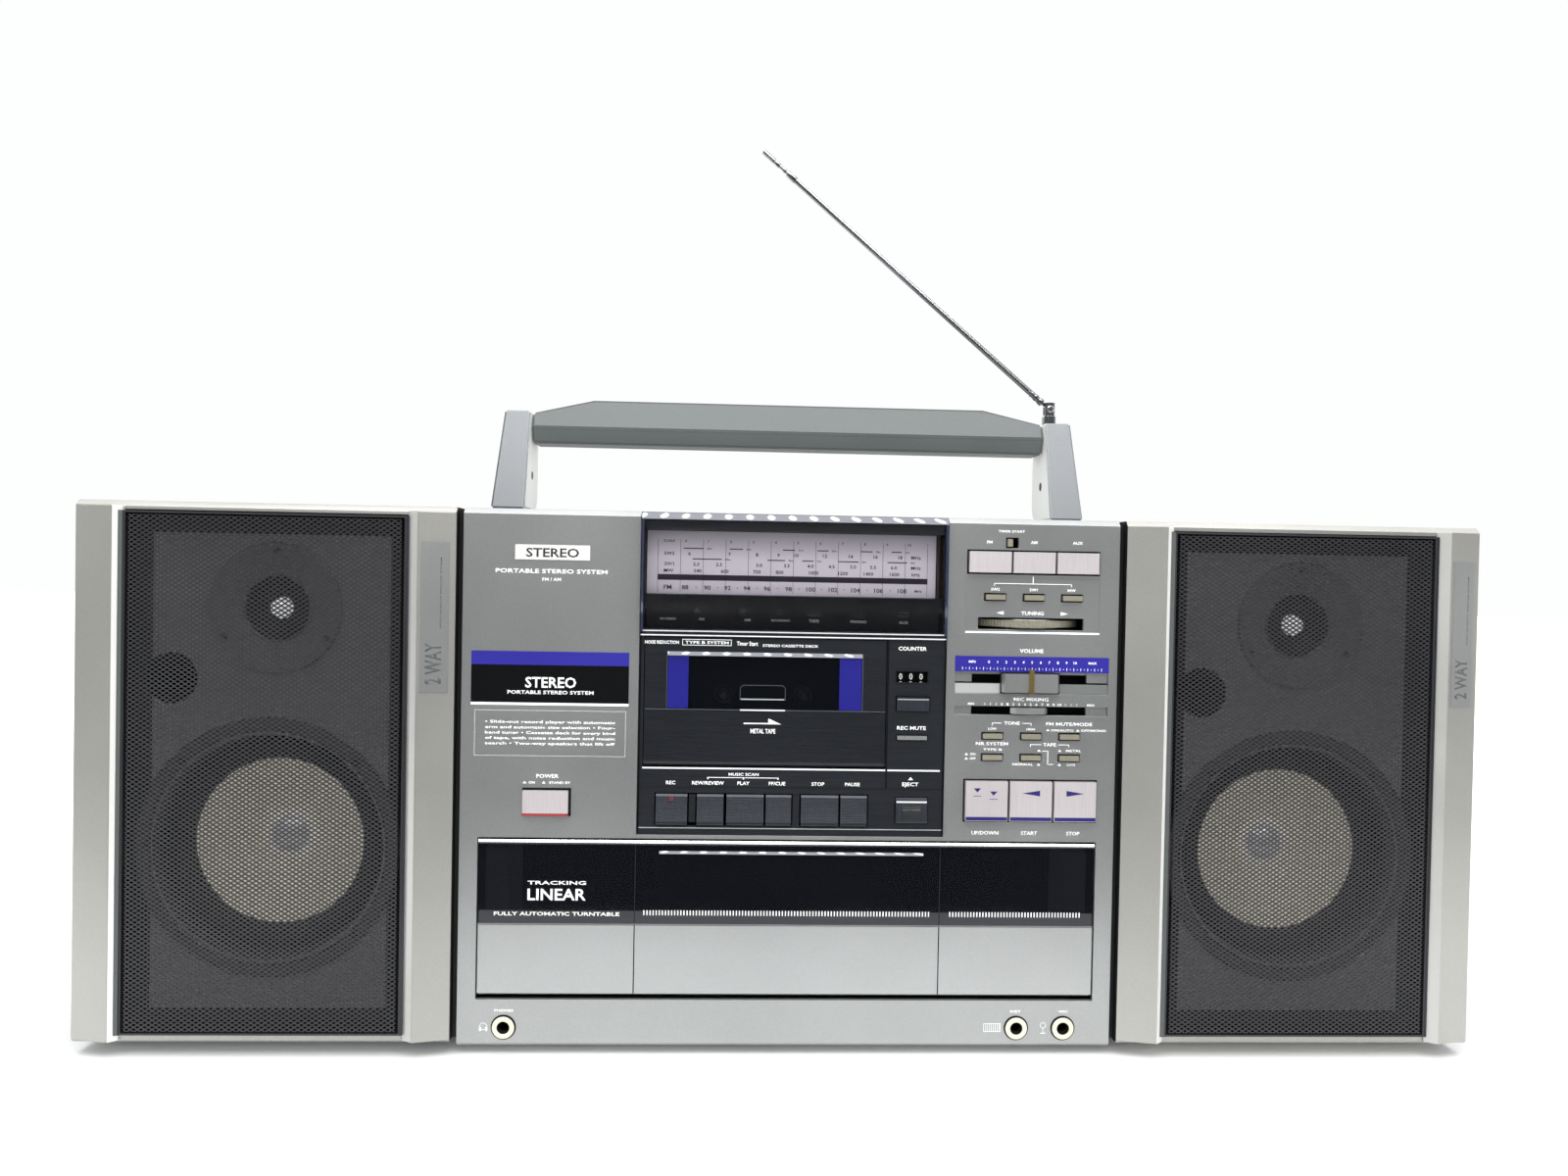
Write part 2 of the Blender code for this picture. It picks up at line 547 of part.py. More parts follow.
def antenna():
    x, depth, height = ANTENNA_PIVOT
    swivel = [(0, 344.6), (4.2, 344.6), (4.2, 350.5), (3.6, 351.0), (3.6, 359.0), (0, 359.0)]
    slot = [("cut", box((x - 8, x + 8), (depth - 1.4, depth + 1.4), (351.8, 365)))]
    piece("antenna_base", CHROME, turned("Z", (x, depth, 0), swivel, 20), slot, pivot=ANTENNA_PIVOT)
    rise = math.radians(ANTENNA_RISE)
    along = Vector((-math.cos(rise), 0, math.sin(rise)))
    cup = [(0, 6.0), (1.95, 7.5), (1.95, 215.0), (1.5, 215.0), (1.5, 10.0), (0, 10.0)]
    tongue = cylinder("Y", (x, depth, height), 2.6, (-1.0, 1.0), 12)
    neck_half = 1.0
    across = Vector((along.z, 0, -along.x))
    corners = []
    for reach, offset in ((0.0, -neck_half), (9.0, -neck_half), (9.0, neck_half), (0.0, neck_half)):
        point = Vector(ANTENNA_PIVOT) + along * reach + across * offset
        corners.append((point.x, point.z))
    steps = [("join", prism("Y", corners, (depth - 1.0, depth + 1.0))), ("join", tongue)]
    piece("antenna_tube", CHROME, turned(along, ANTENNA_PIVOT, cup, 14), steps, pivot=ANTENNA_PIVOT)
    rod = [(0, 11.0), (1.15, 11.0), (1.15, 226.0), (1.7, 226.4), (1.7, 235.0), (0, 236.0)]
    piece("antenna_rod", CHROME, turned(along, ANTENNA_PIVOT, rod, 12), pivot=ANTENNA_PIVOT)


# ---------------------------------------------------------------- speakers

def speaker(name, left):
    """One speaker; both are the same, so each can hang on either side."""
    def at(x):
        return left + x

    def spans(pair):
        return (at(pair[0]), at(pair[1]))

    width = SPEAKER_WIDTH
    inner = (16.0, width - 16.0)
    heights = (SPEAKER_BOTTOM, SPEAKER_TOP)
    pillar_z = (SPEAKER_FACE_BOTTOM, SPEAKER_FACE_TOP)
    side_outline = [
        (SPEAKER_CORNER, SPEAKER_FACE_BOTTOM), (SPEAKER_CORNER, SPEAKER_FACE_TOP), (0.6, SPEAKER_TOP),
        (BEZEL_DEPTH, SPEAKER_TOP), (BEZEL_DEPTH, SPEAKER_BOTTOM), (-0.6, SPEAKER_BOTTOM),
    ]
    left_pillar = [(0, SPEAKER_CORNER), (20.2, SPEAKER_NOSE), (24.2, -3.0), (24.2, 8.0), (0, 8.0)]
    right_pillar = [(width, SPEAKER_CORNER), (171.4, SPEAKER_NOSE), (165.5, -3.0), (165.5, 8.0), (width, 8.0)]
    case = box(spans((SIDE_STEP, width - SIDE_STEP)), (BEZEL_DEPTH - 3, SPEAKER_REAR), heights)
    steps = [
        ("join", case),
        ("cut", box(spans((24.2, 165.5)), (-PAST - 4, BAFFLE[0]), (GRILLE_Z[0] - 0.4, GRILLE_Z[1] + 0.4))),
        ("cut", box(spans(inner), (BAFFLE[1], SPEAKER_REAR - 8), (SPEAKER_BOTTOM + 8, SPEAKER_TOP - 8))),
        ("join", prism("Z", [(at(x), y) for x, y in left_pillar], pillar_z)),
        ("join", prism("Z", [(at(x), y) for x, y in right_pillar], pillar_z)),
        ("cut", cylinder("Y", (at(DRIVER_X), 0, WOOFER_Z), 60.5, (0, 20), 32)),
        ("cut", cylinder("Y", (at(TWEETER_X), 0, TWEETER_Z), 28.5, (0, 20), 24)),
        ("join", cylinder("Y", (at(PORT_X), 0, PORT_Z), PORT_RADIUS + 2, (BAFFLE[1] - 1, 70), 20)),
        ("cut", cylinder("Y", (at(PORT_X), 0, PORT_Z), PORT_RADIUS, (0, 75), 20)),
    ]
    for edge, inward in ((0, 1), (width, -1)):
        neck = (at(edge - inward * PAST), at(edge + inward * 9.2))
        head = (at(edge + inward * 5.4), at(edge + inward * 9.2))
        rail_rise = (SPEAKER_BOTTOM - PAST, RAIL_Z[1] + 0.5)
        steps.append(("cut", box(neck, (RAIL_DEPTH - 3.3, RAIL_DEPTH + 3.3), rail_rise)))
        steps.append(("cut", box(head, (RAIL_DEPTH - 7.3, RAIL_DEPTH + 7.3), rail_rise)))
    for x in (24.0, width - 24.0):
        for depth in (26.0, 166.0):
            steps.append(("join", cylinder("Z", (at(x), depth, 0), 8.0, (0, SPEAKER_BOTTOM + 1), 16)))
    bezel = prism("X", side_outline, (at(0), at(width)))
    piece(f"speaker_cabinet_{name}", SILVER, bezel, steps, pivot=(at(width / 2), 0, 0))

    rim = GRILLE_Z
    grille = box(spans(GRILLE_X), (-4.6, BAFFLE[0] - GAP), rim)
    hollow = box(
        (at(GRILLE_X[0] + 1.8), at(GRILLE_X[1] - 1.8)), (-3.6, BAFFLE[0] + PAST), (rim[0] + 1.8, rim[1] - 1.8))
    piece(f"speaker_grille_{name}", DARK, grille, [("cut", hollow)])

    woofer = [
        (0, 34.0), (9, 35.0), (12.4, 38.0), (13.5, 40.0), (44, 21.0), (48, 17.0), (53, 16.5), (57, 11.0), (62, 3.8),
        (67.4, 3.8), (67.4, 5.7), (60, 5.7), (60, 14.0), (40, 52.0), (43, 52.0), (43, 80.0), (0, 80.0),
    ]
    piece(f"woofer_{name}", DARK, turned("Y", (at(DRIVER_X), 0, WOOFER_Z), woofer, 32))
    tweeter = [
        (0, 6.0), (6.3, 9.0), (7.5, 10.0), (15, 10.0), (19, 5.0), (32, 3.6), (34, 4.4), (34, 5.7), (28, 5.7), (28, 14.0),
        (20, 20.0), (20, 38.0), (0, 38.0),
    ]
    piece(f"tweeter_{name}", DARK, turned("Y", (at(TWEETER_X), 0, TWEETER_Z), tweeter, 24))


# ---------------------------------------------------------------- the whole set

for old in list(bpy.data.objects):
    bpy.data.objects.remove(old, do_unlink=True)

FRAME = bpy.data.objects.new("frame", None)
FRAME.location = (0, -(UNIT_DEPTH + SPEAKER_NOSE) / 2 * MM, 0)
bpy.context.scene.collection.objects.link(FRAME)

SILVER = material("silver_paint", (0.40, 0.42, 0.42), 0.35, 0.6)
GREY = material("grey_plastic", (0.24, 0.25, 0.26), 0.5)
BLACK = material("black_plastic", (0.02, 0.02, 0.025), 0.4)
CLEAR = material("clear_plastic", (0.8, 0.85, 0.85), 0.05, alpha=0.3)
SMOKE = material("smoked_plastic", (0.03, 0.03, 0.035), 0.08, alpha=0.6)
WHITE = material("white_plastic", (0.75, 0.76, 0.8), 0.5)
PEARL = material("pearl_plastic", (0.66, 0.62, 0.64), 0.4)
BEIGE = material("beige_plastic", (0.38, 0.36, 0.30), 0.5)
ORANGE = material("pointer_plastic", (0.7, 0.2, 0.05), 0.5)
STEEL = material("steel", (0.5, 0.5, 0.5), 0.35, 1.0)
TAN = material("board_plastic", (0.55, 0.48, 0.32), 0.5)
GREEN = material("circuit_board", (0.06, 0.22, 0.10), 0.5)
CHROME = material("chrome", (0.7, 0.7, 0.7), 0.1, 1.0)
DARK = material("dark_mesh", (0.05, 0.05, 0.055), 0.6)

front_panel()
rear_cabinet()
deck_panel()
tuner()
cassette_door()
tape_mechanism()
deck_controls()
fascia_controls()
jack_board()
circuit_board()
drawer()
handle()
antenna()
speaker("right", UNIT_HALF + SPEAKER_GAP)
speaker("left", -UNIT_HALF - SPEAKER_GAP - SPEAKER_WIDTH)
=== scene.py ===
"""The looks of the portable stereo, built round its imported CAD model.

Lengths are in millimetres unless a name ends in _M. X runs to the viewer's right, Z is up, and a depth
is measured backwards from the centre unit's front face, as in the CAD source.
"""
import json
import math

import bmesh
import bpy
from mathutils import Matrix, Vector


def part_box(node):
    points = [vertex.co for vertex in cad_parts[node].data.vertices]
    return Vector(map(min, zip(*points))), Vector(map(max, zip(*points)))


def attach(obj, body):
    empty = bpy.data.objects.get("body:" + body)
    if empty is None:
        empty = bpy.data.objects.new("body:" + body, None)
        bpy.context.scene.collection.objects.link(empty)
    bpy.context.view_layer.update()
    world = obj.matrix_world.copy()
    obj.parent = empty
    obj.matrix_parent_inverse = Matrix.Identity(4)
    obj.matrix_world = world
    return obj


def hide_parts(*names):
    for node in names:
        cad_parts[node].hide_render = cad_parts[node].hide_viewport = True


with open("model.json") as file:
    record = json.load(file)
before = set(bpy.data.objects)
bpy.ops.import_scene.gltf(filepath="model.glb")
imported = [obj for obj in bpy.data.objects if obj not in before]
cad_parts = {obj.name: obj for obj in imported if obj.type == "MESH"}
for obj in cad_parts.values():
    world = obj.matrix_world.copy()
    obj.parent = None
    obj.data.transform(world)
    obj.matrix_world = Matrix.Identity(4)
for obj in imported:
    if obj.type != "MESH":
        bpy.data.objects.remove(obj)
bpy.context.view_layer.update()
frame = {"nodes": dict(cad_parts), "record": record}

NODES = frame["nodes"]
BODY_OF = {n: b for b, names in frame["record"]["behaviour"]["bodies"].items() for n in names}
MM = 0.001
FRONT_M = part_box("front_panel")[0].y
SMOOTH_ANGLE = math.radians(35)
AXES = {"X": Vector((1, 0, 0)), "Y": Vector((0, 1, 0)), "Z": Vector((0, 0, 1))}

# Printing
INK_RISE = 0.03              # how far ink stands proud of its face
INK_SUNK = 0.02              # how far ink reaches into its face
LETTER_WEIGHT = 0.018        # stroke added to the letters, as a share of their size
LETTER_WIDTH = 1.12          # widening of words that have no stated width
DIAL_INK = dict(ink="dark", depth=8.4)

# Centre unit
SCREW_X = (-160.0, 160.0)
SCREW_Z = (16.0, 210.0, 272.0)
JACK_X = (-146.5, 120.8, 145.6)
JACK_Z = 14.2
COLUMN_LOW = 115.4           # foot of the black centre column
RIB = 0.95                   # pitch of the cassette door's ribs
DRAWER_SEAMS = (-80.2, 79.0)
TICK_PITCH = 1.6             # pitch of the ticks printed on the drawer's window

# Speakers
SPEAKER_EDGE = -2.1          # depth of the outer front corners
SPEAKER_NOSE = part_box("speaker_cabinet_left")[0].y / MM - FRONT_M / MM
MESH_X, MESH_Z = 3.6, 2.36   # pitch of the expanded mesh
HOLE_X, HOLE_Z = 1.22, 0.70  # half the width and half the height of its openings
MESH_THICK = 0.5
MESH_LEAN = 0.16             # how far the strands slant in depth

# Room and camera
LAMPS = 60
LAMP_PITCH_M = 0.0272
LAMP_RADII_M = (0.0048, 0.0048, 0.045)
LAMP_BEFORE_M, LAMP_HEIGHT_M = 0.55, 0.944
FLOOR_REACH_M = 8.0
CAMERA_PLACE = (-31.0, -584.0, 252.4)
CAMERA_TURNS = (-0.0432, -0.0150, -0.0190)   # yaw, pitch and roll in radians


def at(x, depth, z):
    """A point in the model's frame, in metres."""
    return Vector((x * MM, FRONT_M + depth * MM, z * MM))


def spans(node):
    """The x, depth and z spans of a CAD node, in millimetres."""
    low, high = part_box(node)
    rows = [(low.x, high.x), (low.y - FRONT_M, high.y - FRONT_M), (low.z, high.z)]
    return [(a / MM, b / MM) for a, b in rows]


# ---------------------------------------------------------------- materials

def linear(code):
    """A colour given as six hex digits, as Blender's linear values."""
    values = [int(code[i:i + 2], 16) / 255 for i in (0, 2, 4)]
    return [v / 12.92 if v <= 0.04045 else ((v + 0.055) / 1.055) ** 2.4 for v in values]


NOISE_REACH = (0.3, 0.7)     # the values that Blender's noise mostly keeps to
BROAD_SCALE = 14.0
RELIEF_M = 0.0001


def add_node(tree, kind, values):
    """A shader node with values in some of its sockets."""
    made = tree.nodes.new(kind)
    for socket, value in values.items():
        made.inputs[socket].default_value = value
    return made


def mapped(tree, source, reach, out=(0.0, 1.0)):
    """An output mapped from one span of values onto another."""
    made = add_node(tree, "ShaderNodeMapRange", {
        "From Min": reach[0], "From Max": reach[1], "To Min": out[0], "To Max": out[1]})
    tree.links.new(source, made.inputs["Value"])
    return made.outputs["Result"]


def product(tree, first, second):
    """Two outputs multiplied."""
    made = tree.nodes.new("ShaderNodeMath")
    made.operation = "MULTIPLY"
    tree.links.new(first, made.inputs[0])
    tree.links.new(second, made.inputs[1])
    return made.outputs["Value"]


def look(name, code, rough, metal=0.0, vary=0.08, grain=2500.0, stretch=(1, 1, 1), bump=0.0, cloud=0.05,
         rough_vary=0.08, coat=0.0, alpha=1.0, ior=1.5, glow=0.0, fade=None):
    """A plastic, paint or metal with fine grain in its colour, its roughness and its surface.

    grain is in cells per metre; stretch draws the grain out along an axis where it is below 1.
    fade is (low z, high z, share left at the top): painted shade, darker towards the top; glow gives off
    light in the surface's own colour, painted light on any part that is no lamp."""
    made = bpy.data.materials.new(name)
    made.use_nodes = True
    tree = made.node_tree
    shader = tree.nodes["Principled BSDF"]
    place = tree.nodes.new("ShaderNodeTexCoord")
    scale = add_node(tree, "ShaderNodeMapping", {"Scale": [grain * s for s in stretch]})
    tree.links.new(place.outputs["Object"], scale.inputs["Vector"])
    fine = add_node(tree, "ShaderNodeTexNoise", {"Scale": 1.0, "Detail": 2.0})
    tree.links.new(scale.outputs["Vector"], fine.inputs["Vector"])
    broad = add_node(tree, "ShaderNodeTexNoise", {"Scale": BROAD_SCALE, "Detail": 3.0})
    tree.links.new(place.outputs["Object"], broad.inputs["Vector"])
    speckle = mapped(tree, fine.outputs["Fac"], NOISE_REACH, (1.0 - vary, 1.0 + vary))
    patches = mapped(tree, broad.outputs["Fac"], NOISE_REACH, (1.0 - cloud, 1.0 + cloud))
    shade = product(tree, speckle, patches)
    # Painted shade: the colour darkens between two heights towards the top.
    if fade:
        low, high, left = fade
        height = tree.nodes.new("ShaderNodeSeparateXYZ")
        tree.links.new(place.outputs["Object"], height.inputs["Vector"])
        dim = mapped(tree, height.outputs["Z"], (low * MM, high * MM), (1.0, left))
        shade = product(tree, shade, dim)
    colour = Vector(linear(code))
    tint = tree.nodes.new("ShaderNodeVectorMath")
    tint.operation = "SCALE"
    tint.inputs[0].default_value = colour
    tree.links.new(shade, tint.inputs["Scale"])
    tree.links.new(tint.outputs["Vector"], shader.inputs["Base Color"])
    half = rough_vary / 2
    polish = mapped(tree, broad.outputs["Fac"], NOISE_REACH, (max(0.02, rough - half), rough + half))
    tree.links.new(polish, shader.inputs["Roughness"])
    if bump:
        relief = add_node(tree, "ShaderNodeBump", {"Strength": bump, "Distance": RELIEF_M})
        tree.links.new(fine.outputs["Fac"], relief.inputs["Height"])
        tree.links.new(relief.outputs["Normal"], shader.inputs["Normal"])
    shader.inputs["Metallic"].default_value = metal
    shader.inputs["IOR"].default_value = ior
    shader.inputs["Coat Weight"].default_value = coat
    shader.inputs["Coat Roughness"].default_value = 0.15
    shader.inputs["Alpha"].default_value = alpha
    # Painted light where the surface is no lamp: it gives off light in its own colour.
    if glow:
        shader.inputs["Emission Color"].default_value = (*colour, 1)
        shader.inputs["Emission Strength"].default_value = glow
    return made


HAIR_X = (0.02, 1, 1)
SILVER = look("silver_paint", "b8baba", 0.37, 0.75, vary=0.10, bump=0.10, rough_vary=0.05)
SILVER_LIGHT = look("silver_paint_light", "c2c4c4", 0.37, 0.75, vary=0.08, bump=0.10, rough_vary=0.05)
WARM_SILVER = look("speaker_paint", "bfbeb9", 0.46, 0.7, vary=0.08, bump=0.10, rough_vary=0.05)
GREY = look("cabinet_grey", "8f9393", 0.55, 0.25, vary=0.07, grain=1400, bump=0.35)
DARK_GREY = look("grip_grey", "6f7474", 0.5, 0.3, vary=0.08, grain=1800, bump=0.25)
# A darker copy of the grip grey for the grip's upward-sloping faces: painted shade.
GRIP_SLOPE_SHADE = look("grip_slope_painted_shade", "666a6a", 0.5, 0.3, vary=0.08, grain=1800, bump=0.25)
SHADE_GREY = look("groove_grey", "606464", 0.55, 0.3, bump=0.2)
BLACK = look("deck_black", "23262c", 0.38, 0.2, vary=0.22, stretch=HAIR_X, bump=0.25)
KEY_BLACK = look("key_black", "383b42", 0.3, 0.35, vary=0.18, stretch=(1, 1, 0.03), bump=0.2)
# Black print, also used as painted shade in the gaps round the buttons.
BLACK_PRINT_AND_SHADE = look("black_print_and_painted_shade", "05060a", 0.5, vary=0.15, grain=1500, ior=1.3)
# A grey strip along the drawer window's foot, lighter than the dark pane: painted light.
WINDOW_FOOT_PAINTED_LIGHT = look("window_foot_painted_light", "34363b", 0.2, vary=0.1, stretch=HAIR_X, rough_vary=0.05)
GLOSS_BLACK = look("gloss_black", "0c0d11", 0.12, 0.0, vary=0.1, coat=0.4, rough_vary=0.04)
MATT_BLACK = look("matt_black", "0b0c0e", 0.7, vary=0.2, grain=1500, bump=0.3)
CLEAR = look("clear_acrylic", "0c0d12", 0.05, alpha=0.12, vary=0.02, rough_vary=0.03)
SMOKED = look("smoked_acrylic", "101218", 0.06, alpha=0.72, vary=0.05, rough_vary=0.04)
SMOKED_DARK = look("door_window", "0d1016", 0.07, alpha=0.5, vary=0.05, rough_vary=0.04)
CHROME = look("chrome", "d8dadc", 0.10, 1.0, vary=0.03, rough_vary=0.06)
SATIN_STEEL = look("satin_steel", "a4a6a6", 0.3, 1.0, vary=0.10, stretch=HAIR_X, bump=0.1)
PEARL = look("pearl_button", "dcd5d7", 0.36, 0.4, vary=0.05, stretch=(1, 1, 0.03), bump=0.08)
BEIGE = look("champagne_button", "aaa593", 0.36, 0.45, vary=0.08, stretch=HAIR_X, bump=0.1)
# The dial plate darkens towards its top as painted shade, the shadow of the recess above it, and glows
# faintly as painted light.
DIAL_PAINTED_SHADE_GLOW = look("dial_plate", "d2cbd8", 0.5, vary=0.03, cloud=0.04, glow=0.05, fade=(258.0, 272.0, 0.5))
WHITE = look("white_plastic", "d9d8d4", 0.45, vary=0.05, bump=0.05)
BLUE = look("blue_print", "2a259a", 0.4, 0.1, vary=0.06, bump=0.05)
# White print that glows: painted light that brightens it.
INK_WHITE_GLOWING = look("white_ink_painted_glow", "f4f5f5", 0.5, vary=0.03, glow=0.35)
# Light trims that glow as painted light; on the eject key this also draws a painted highlight line.
TRIM_GLOWING = look("trim_painted_glow", "e8e9ec", 0.3, 0.3, vary=0.04, stretch=HAIR_X, glow=0.35)
# Lighter copies of the speaker paint for the pillars' sloped faces, painted light: the left pillar's bright
# and glowing, the right pillar's paler.
SLOPE_PAINTED_HIGHLIGHT = look("slope_painted_highlight", "e9e9e6", 0.35, 0.3, vary=0.04, bump=0.05, glow=0.2)
SLOPE_PAINTED_LIGHT = look("slope_painted_light", "d2d2ce", 0.4, 0.5, vary=0.05, bump=0.05)
DOOR_BLUE = look("door_blue", "1c1a86", 0.35, 0.1, vary=0.06, bump=0.05)
# The sloped ends inside the drawer window glow faintly: painted light.
WEDGE_GLOWING = look("window_end_painted_glow", "a5abbe", 0.5, 0.1, vary=0.06, bump=0.05, glow=0.1)
INK_GREY = look("grey_ink", "b9bdbd", 0.5, vary=0.03)
INK_DARK = look("dark_ink", "2b2731", 0.5, vary=0.05)
INK_NAVY = look("navy_ink", "23206e", 0.45, vary=0.05)
INK_RED = look("red_ink", "a8323a", 0.4, vary=0.05)
GOLD = look("gold", "c9b071", 0.28, 0.9, vary=0.05, stretch=HAIR_X)
ORANGE = look("orange_pointer", "3a2a26", 0.35, vary=0.05)
MESH_PAINT = look("mesh_paint", "3d3d40", 0.42, 0.35, vary=0.14, grain=1800, bump=0.2)
BAFFLE_PAINT = look("baffle_grey", "97979b", 0.6, 0.1, vary=0.10, grain=1500, bump=0.3)
FRAME_PAINT = look("basket_grey", "5c5c5f", 0.45, 0.2, vary=0.1, bump=0.2)
TWEETER_PAINT = look("tweeter_grey", "88888b", 0.5, 0.1, vary=0.1, bump=0.2)
# Woofer cone, dust cap and tweeter dome glow: painted light that brightens them.
CONE_GLOWING = look("paper_cone_painted_glow", "f6eedb", 0.6, 0.1, vary=0.10, grain=900, bump=0.4, glow=0.16)
DUST_CAP_GLOWING = look("dust_cap_painted_glow", "f4f4f6", 0.26, 0.7, vary=0.08, grain=500, bump=0.1, glow=0.14)
DOME_GLOWING = look("tweeter_dome_painted_glow", "f4f4f6", 0.3, 0.4, vary=0.12, grain=700, bump=0.15, glow=0.5)
LEG_PAINT = look("leg_paint", "939699", 0.5, 0.45, vary=0.07, bump=0.1)
# A lighter, glowing copy of the leg paint for the legs' sides: painted light.
LEG_SIDE_PAINTED_LIGHT = look("leg_side_painted_light", "e3e4e1", 0.5, 0.2, vary=0.05, bump=0.1, glow=0.18)
LENS_BEVEL = look("lens_bevel", "30354c", 0.02, vary=0.1, grain=300, rough_vary=0.0, ior=1.9)
TUNER_SHADE = look("tuner_shade", "2b2c33", 0.5, vary=0.1, bump=0.1)
ANTENNA_METAL = look("antenna_metal", "a4a6a8", 0.22, 1.0, vary=0.03, grain=300, bump=0.02)
# Light grey of the sliders' ledge, also used for painted highlight lines on the counter reset button and
# along the foot of the key row; the darker copy below is painted shade on the right ledge.
LEDGE_AND_HIGHLIGHT = look("slider_ledge", "c6c9c8", 0.45, 0.35, vary=0.06, bump=0.08)
LEDGE_SHADE = look("slider_ledge_painted_shade", "7f8382", 0.5, 0.35, vary=0.06, bump=0.08)
RUBBER = look("rubber", "17181a", 0.6, vary=0.15, grain=1500, bump=0.35)
# The jack rims' cream glows faintly: painted light.
CREAM_GLOWING = look("cream_plastic_painted_glow", "f3ead0", 0.4, vary=0.04, glow=0.1)
BOARD = look("circuit_board", "1e5a33", 0.4, vary=0.15, grain=600, bump=0.2)
BROWN_BOARD = look("paper_board", "8a6a3c", 0.5, vary=0.12, grain=800, bump=0.2)


# ---------------------------------------------------------------- shapes

def faces_look(faces, index):
    for face in faces:
        face.material_index = index


def soften(bm, faces, edge, steps=2):
    """Rounds the sharp edges of some faces."""
    every = {e for f in faces for e in f.edges}
    edges = {e for e in every if len(e.link_faces) == 2 and e.calc_face_angle(0) > SMOOTH_ANGLE}
    if edge and edges:
        bmesh.ops.bevel(bm, geom=list(edges), offset=edge * MM, segments=steps, affect="EDGES",
                        clamp_overlap=True)


def add_box(bm, x, depth, z, edge=0.0, index=0):
    corners = [bm.verts.new(at(a, b, c)) for a in sorted(x) for b in sorted(depth) for c in sorted(z)]
    rings = ((0, 1, 3, 2), (4, 6, 7, 5), (0, 4, 5, 1), (2, 3, 7, 6), (0, 2, 6, 4), (1, 5, 7, 3))
    faces = [bm.faces.new([corners[i] for i in ring]) for ring in rings]
    faces_look(faces, index)
    soften(bm, faces, edge)


def add_prism(bm, axis, outline, reach, edge=0.0, index=0):
    """An outline in the plane across an axis, drawn out along that axis."""
    order = {"X": (2, 0, 1), "Y": (0, 2, 1), "Z": (0, 1, 2)}[axis]
    rings = []
    for end in reach:
        points = [(p[0], p[1], end) for p in outline]
        rings.append([bm.verts.new(at(*(p[i] for i in order))) for p in points])
    faces = [bm.faces.new(rings[0]), bm.faces.new(list(reversed(rings[1])))]
    for i in range(len(outline)):
        j = (i + 1) % len(outline)
        faces.append(bm.faces.new((rings[0][i], rings[1][i], rings[1][j], rings[0][j])))
    faces_look(faces, index)
    bmesh.ops.recalc_face_normals(bm, faces=faces)
    soften(bm, faces, edge)


def loft(bm, rings, index=0, closed=True):
    """Faces between neighbouring rings of corners, of which any may be one point.

    closed also joins the last ring to the first."""
    faces = []
    for low, high in zip(rings, rings[1:] + rings[:1] if closed else rings[1:]):
        count = max(len(low), len(high))
        for k in range(count):
            n = (k + 1) % count
            corners = [low[k % len(low)], low[n % len(low)], high[n % len(high)], high[k % len(high)]]
            faces.append(bm.faces.new(list(dict.fromkeys(corners))))
    faces_look(faces, index)


def add_turned(bm, axis, centre, profile, sides=32, index=0, closed=False):
    """A profile of (radius, reach along the axis) points turned about the axis.

    It starts and ends on the axis, or it is a closed section away from it."""
    along = AXES[axis] if isinstance(axis, str) else axis
    turn = along.to_track_quat("Z", "Y").to_matrix()
    middle = at(*centre)
    rings = []
    for radius, reach in profile:
        if radius == 0:
            rings.append([bm.verts.new(middle + along * reach * MM)])
            continue
        ring = []
        for k in range(sides):
            angle = 2 * math.pi * k / sides
            spoke = turn @ Vector((math.cos(angle), math.sin(angle), 0))
            ring.append(bm.verts.new(middle + (along * reach + spoke * radius) * MM))
        rings.append(ring)
    loft(bm, rings, index, closed)


def add_bar(bm, centre, radius, reach, axis="Y", sides=24, index=0, edge=0.0):
    """A round bar with softened ends."""
    a, b = reach
    profile = [(0, a), (radius - edge, a), (radius, a + edge), (radius, b - edge), (radius - edge, b), (0, b)]
    if not edge:
        profile = [(0, a), (radius, a), (radius, b), (0, b)]
    add_turned(bm, axis, centre, profile, sides, index)


def ring_profile(inner, outer, front, back, dome=0.0):
    """A ring's section for add_ring: a front that may be domed."""
    middle = (inner + outer) / 2
    return [(inner, front), (middle, front - dome), (outer, front), (outer, back), (inner, back)]


def add_ring(bm, centre, section, sides=48, index=0, upright=False):
    """A closed section turned about the depth axis, or about the upright one, away from it."""
    middle = at(*centre)
    rings = []
    for radius, reach in section:
        ring = []
        for k in range(sides):
            angle = 2 * math.pi * k / sides
            a, b = radius * math.cos(angle), radius * math.sin(angle)
            point = (a, b, reach) if upright else (a, reach, b)
            ring.append(bm.verts.new(middle + Vector(point) * MM))
        rings.append(ring)
    loft(bm, rings, index)


def add_frame(bm, outer, inner, reach, index=0):
    """A flat frame between two (x, z) outlines of the same count, drawn along the depth."""
    rings = []
    for outline in (outer, inner):
        for depth in reach:
            rings.append([bm.verts.new(at(a, depth, b)) for a, b in outline])
    loft(bm, [rings[0], rings[1], rings[3], rings[2]], index)


def in_scene(name, data):
    """A new object in the scene."""
    thing = bpy.data.objects.new(name, data)
    bpy.context.scene.collection.objects.link(thing)
    return thing


def mesh_object(name, bm):
    """A built shape as an object in the scene."""
    mesh = bpy.data.meshes.new(name)
    bm.to_mesh(mesh)
    bm.free()
    return in_scene(name, mesh)


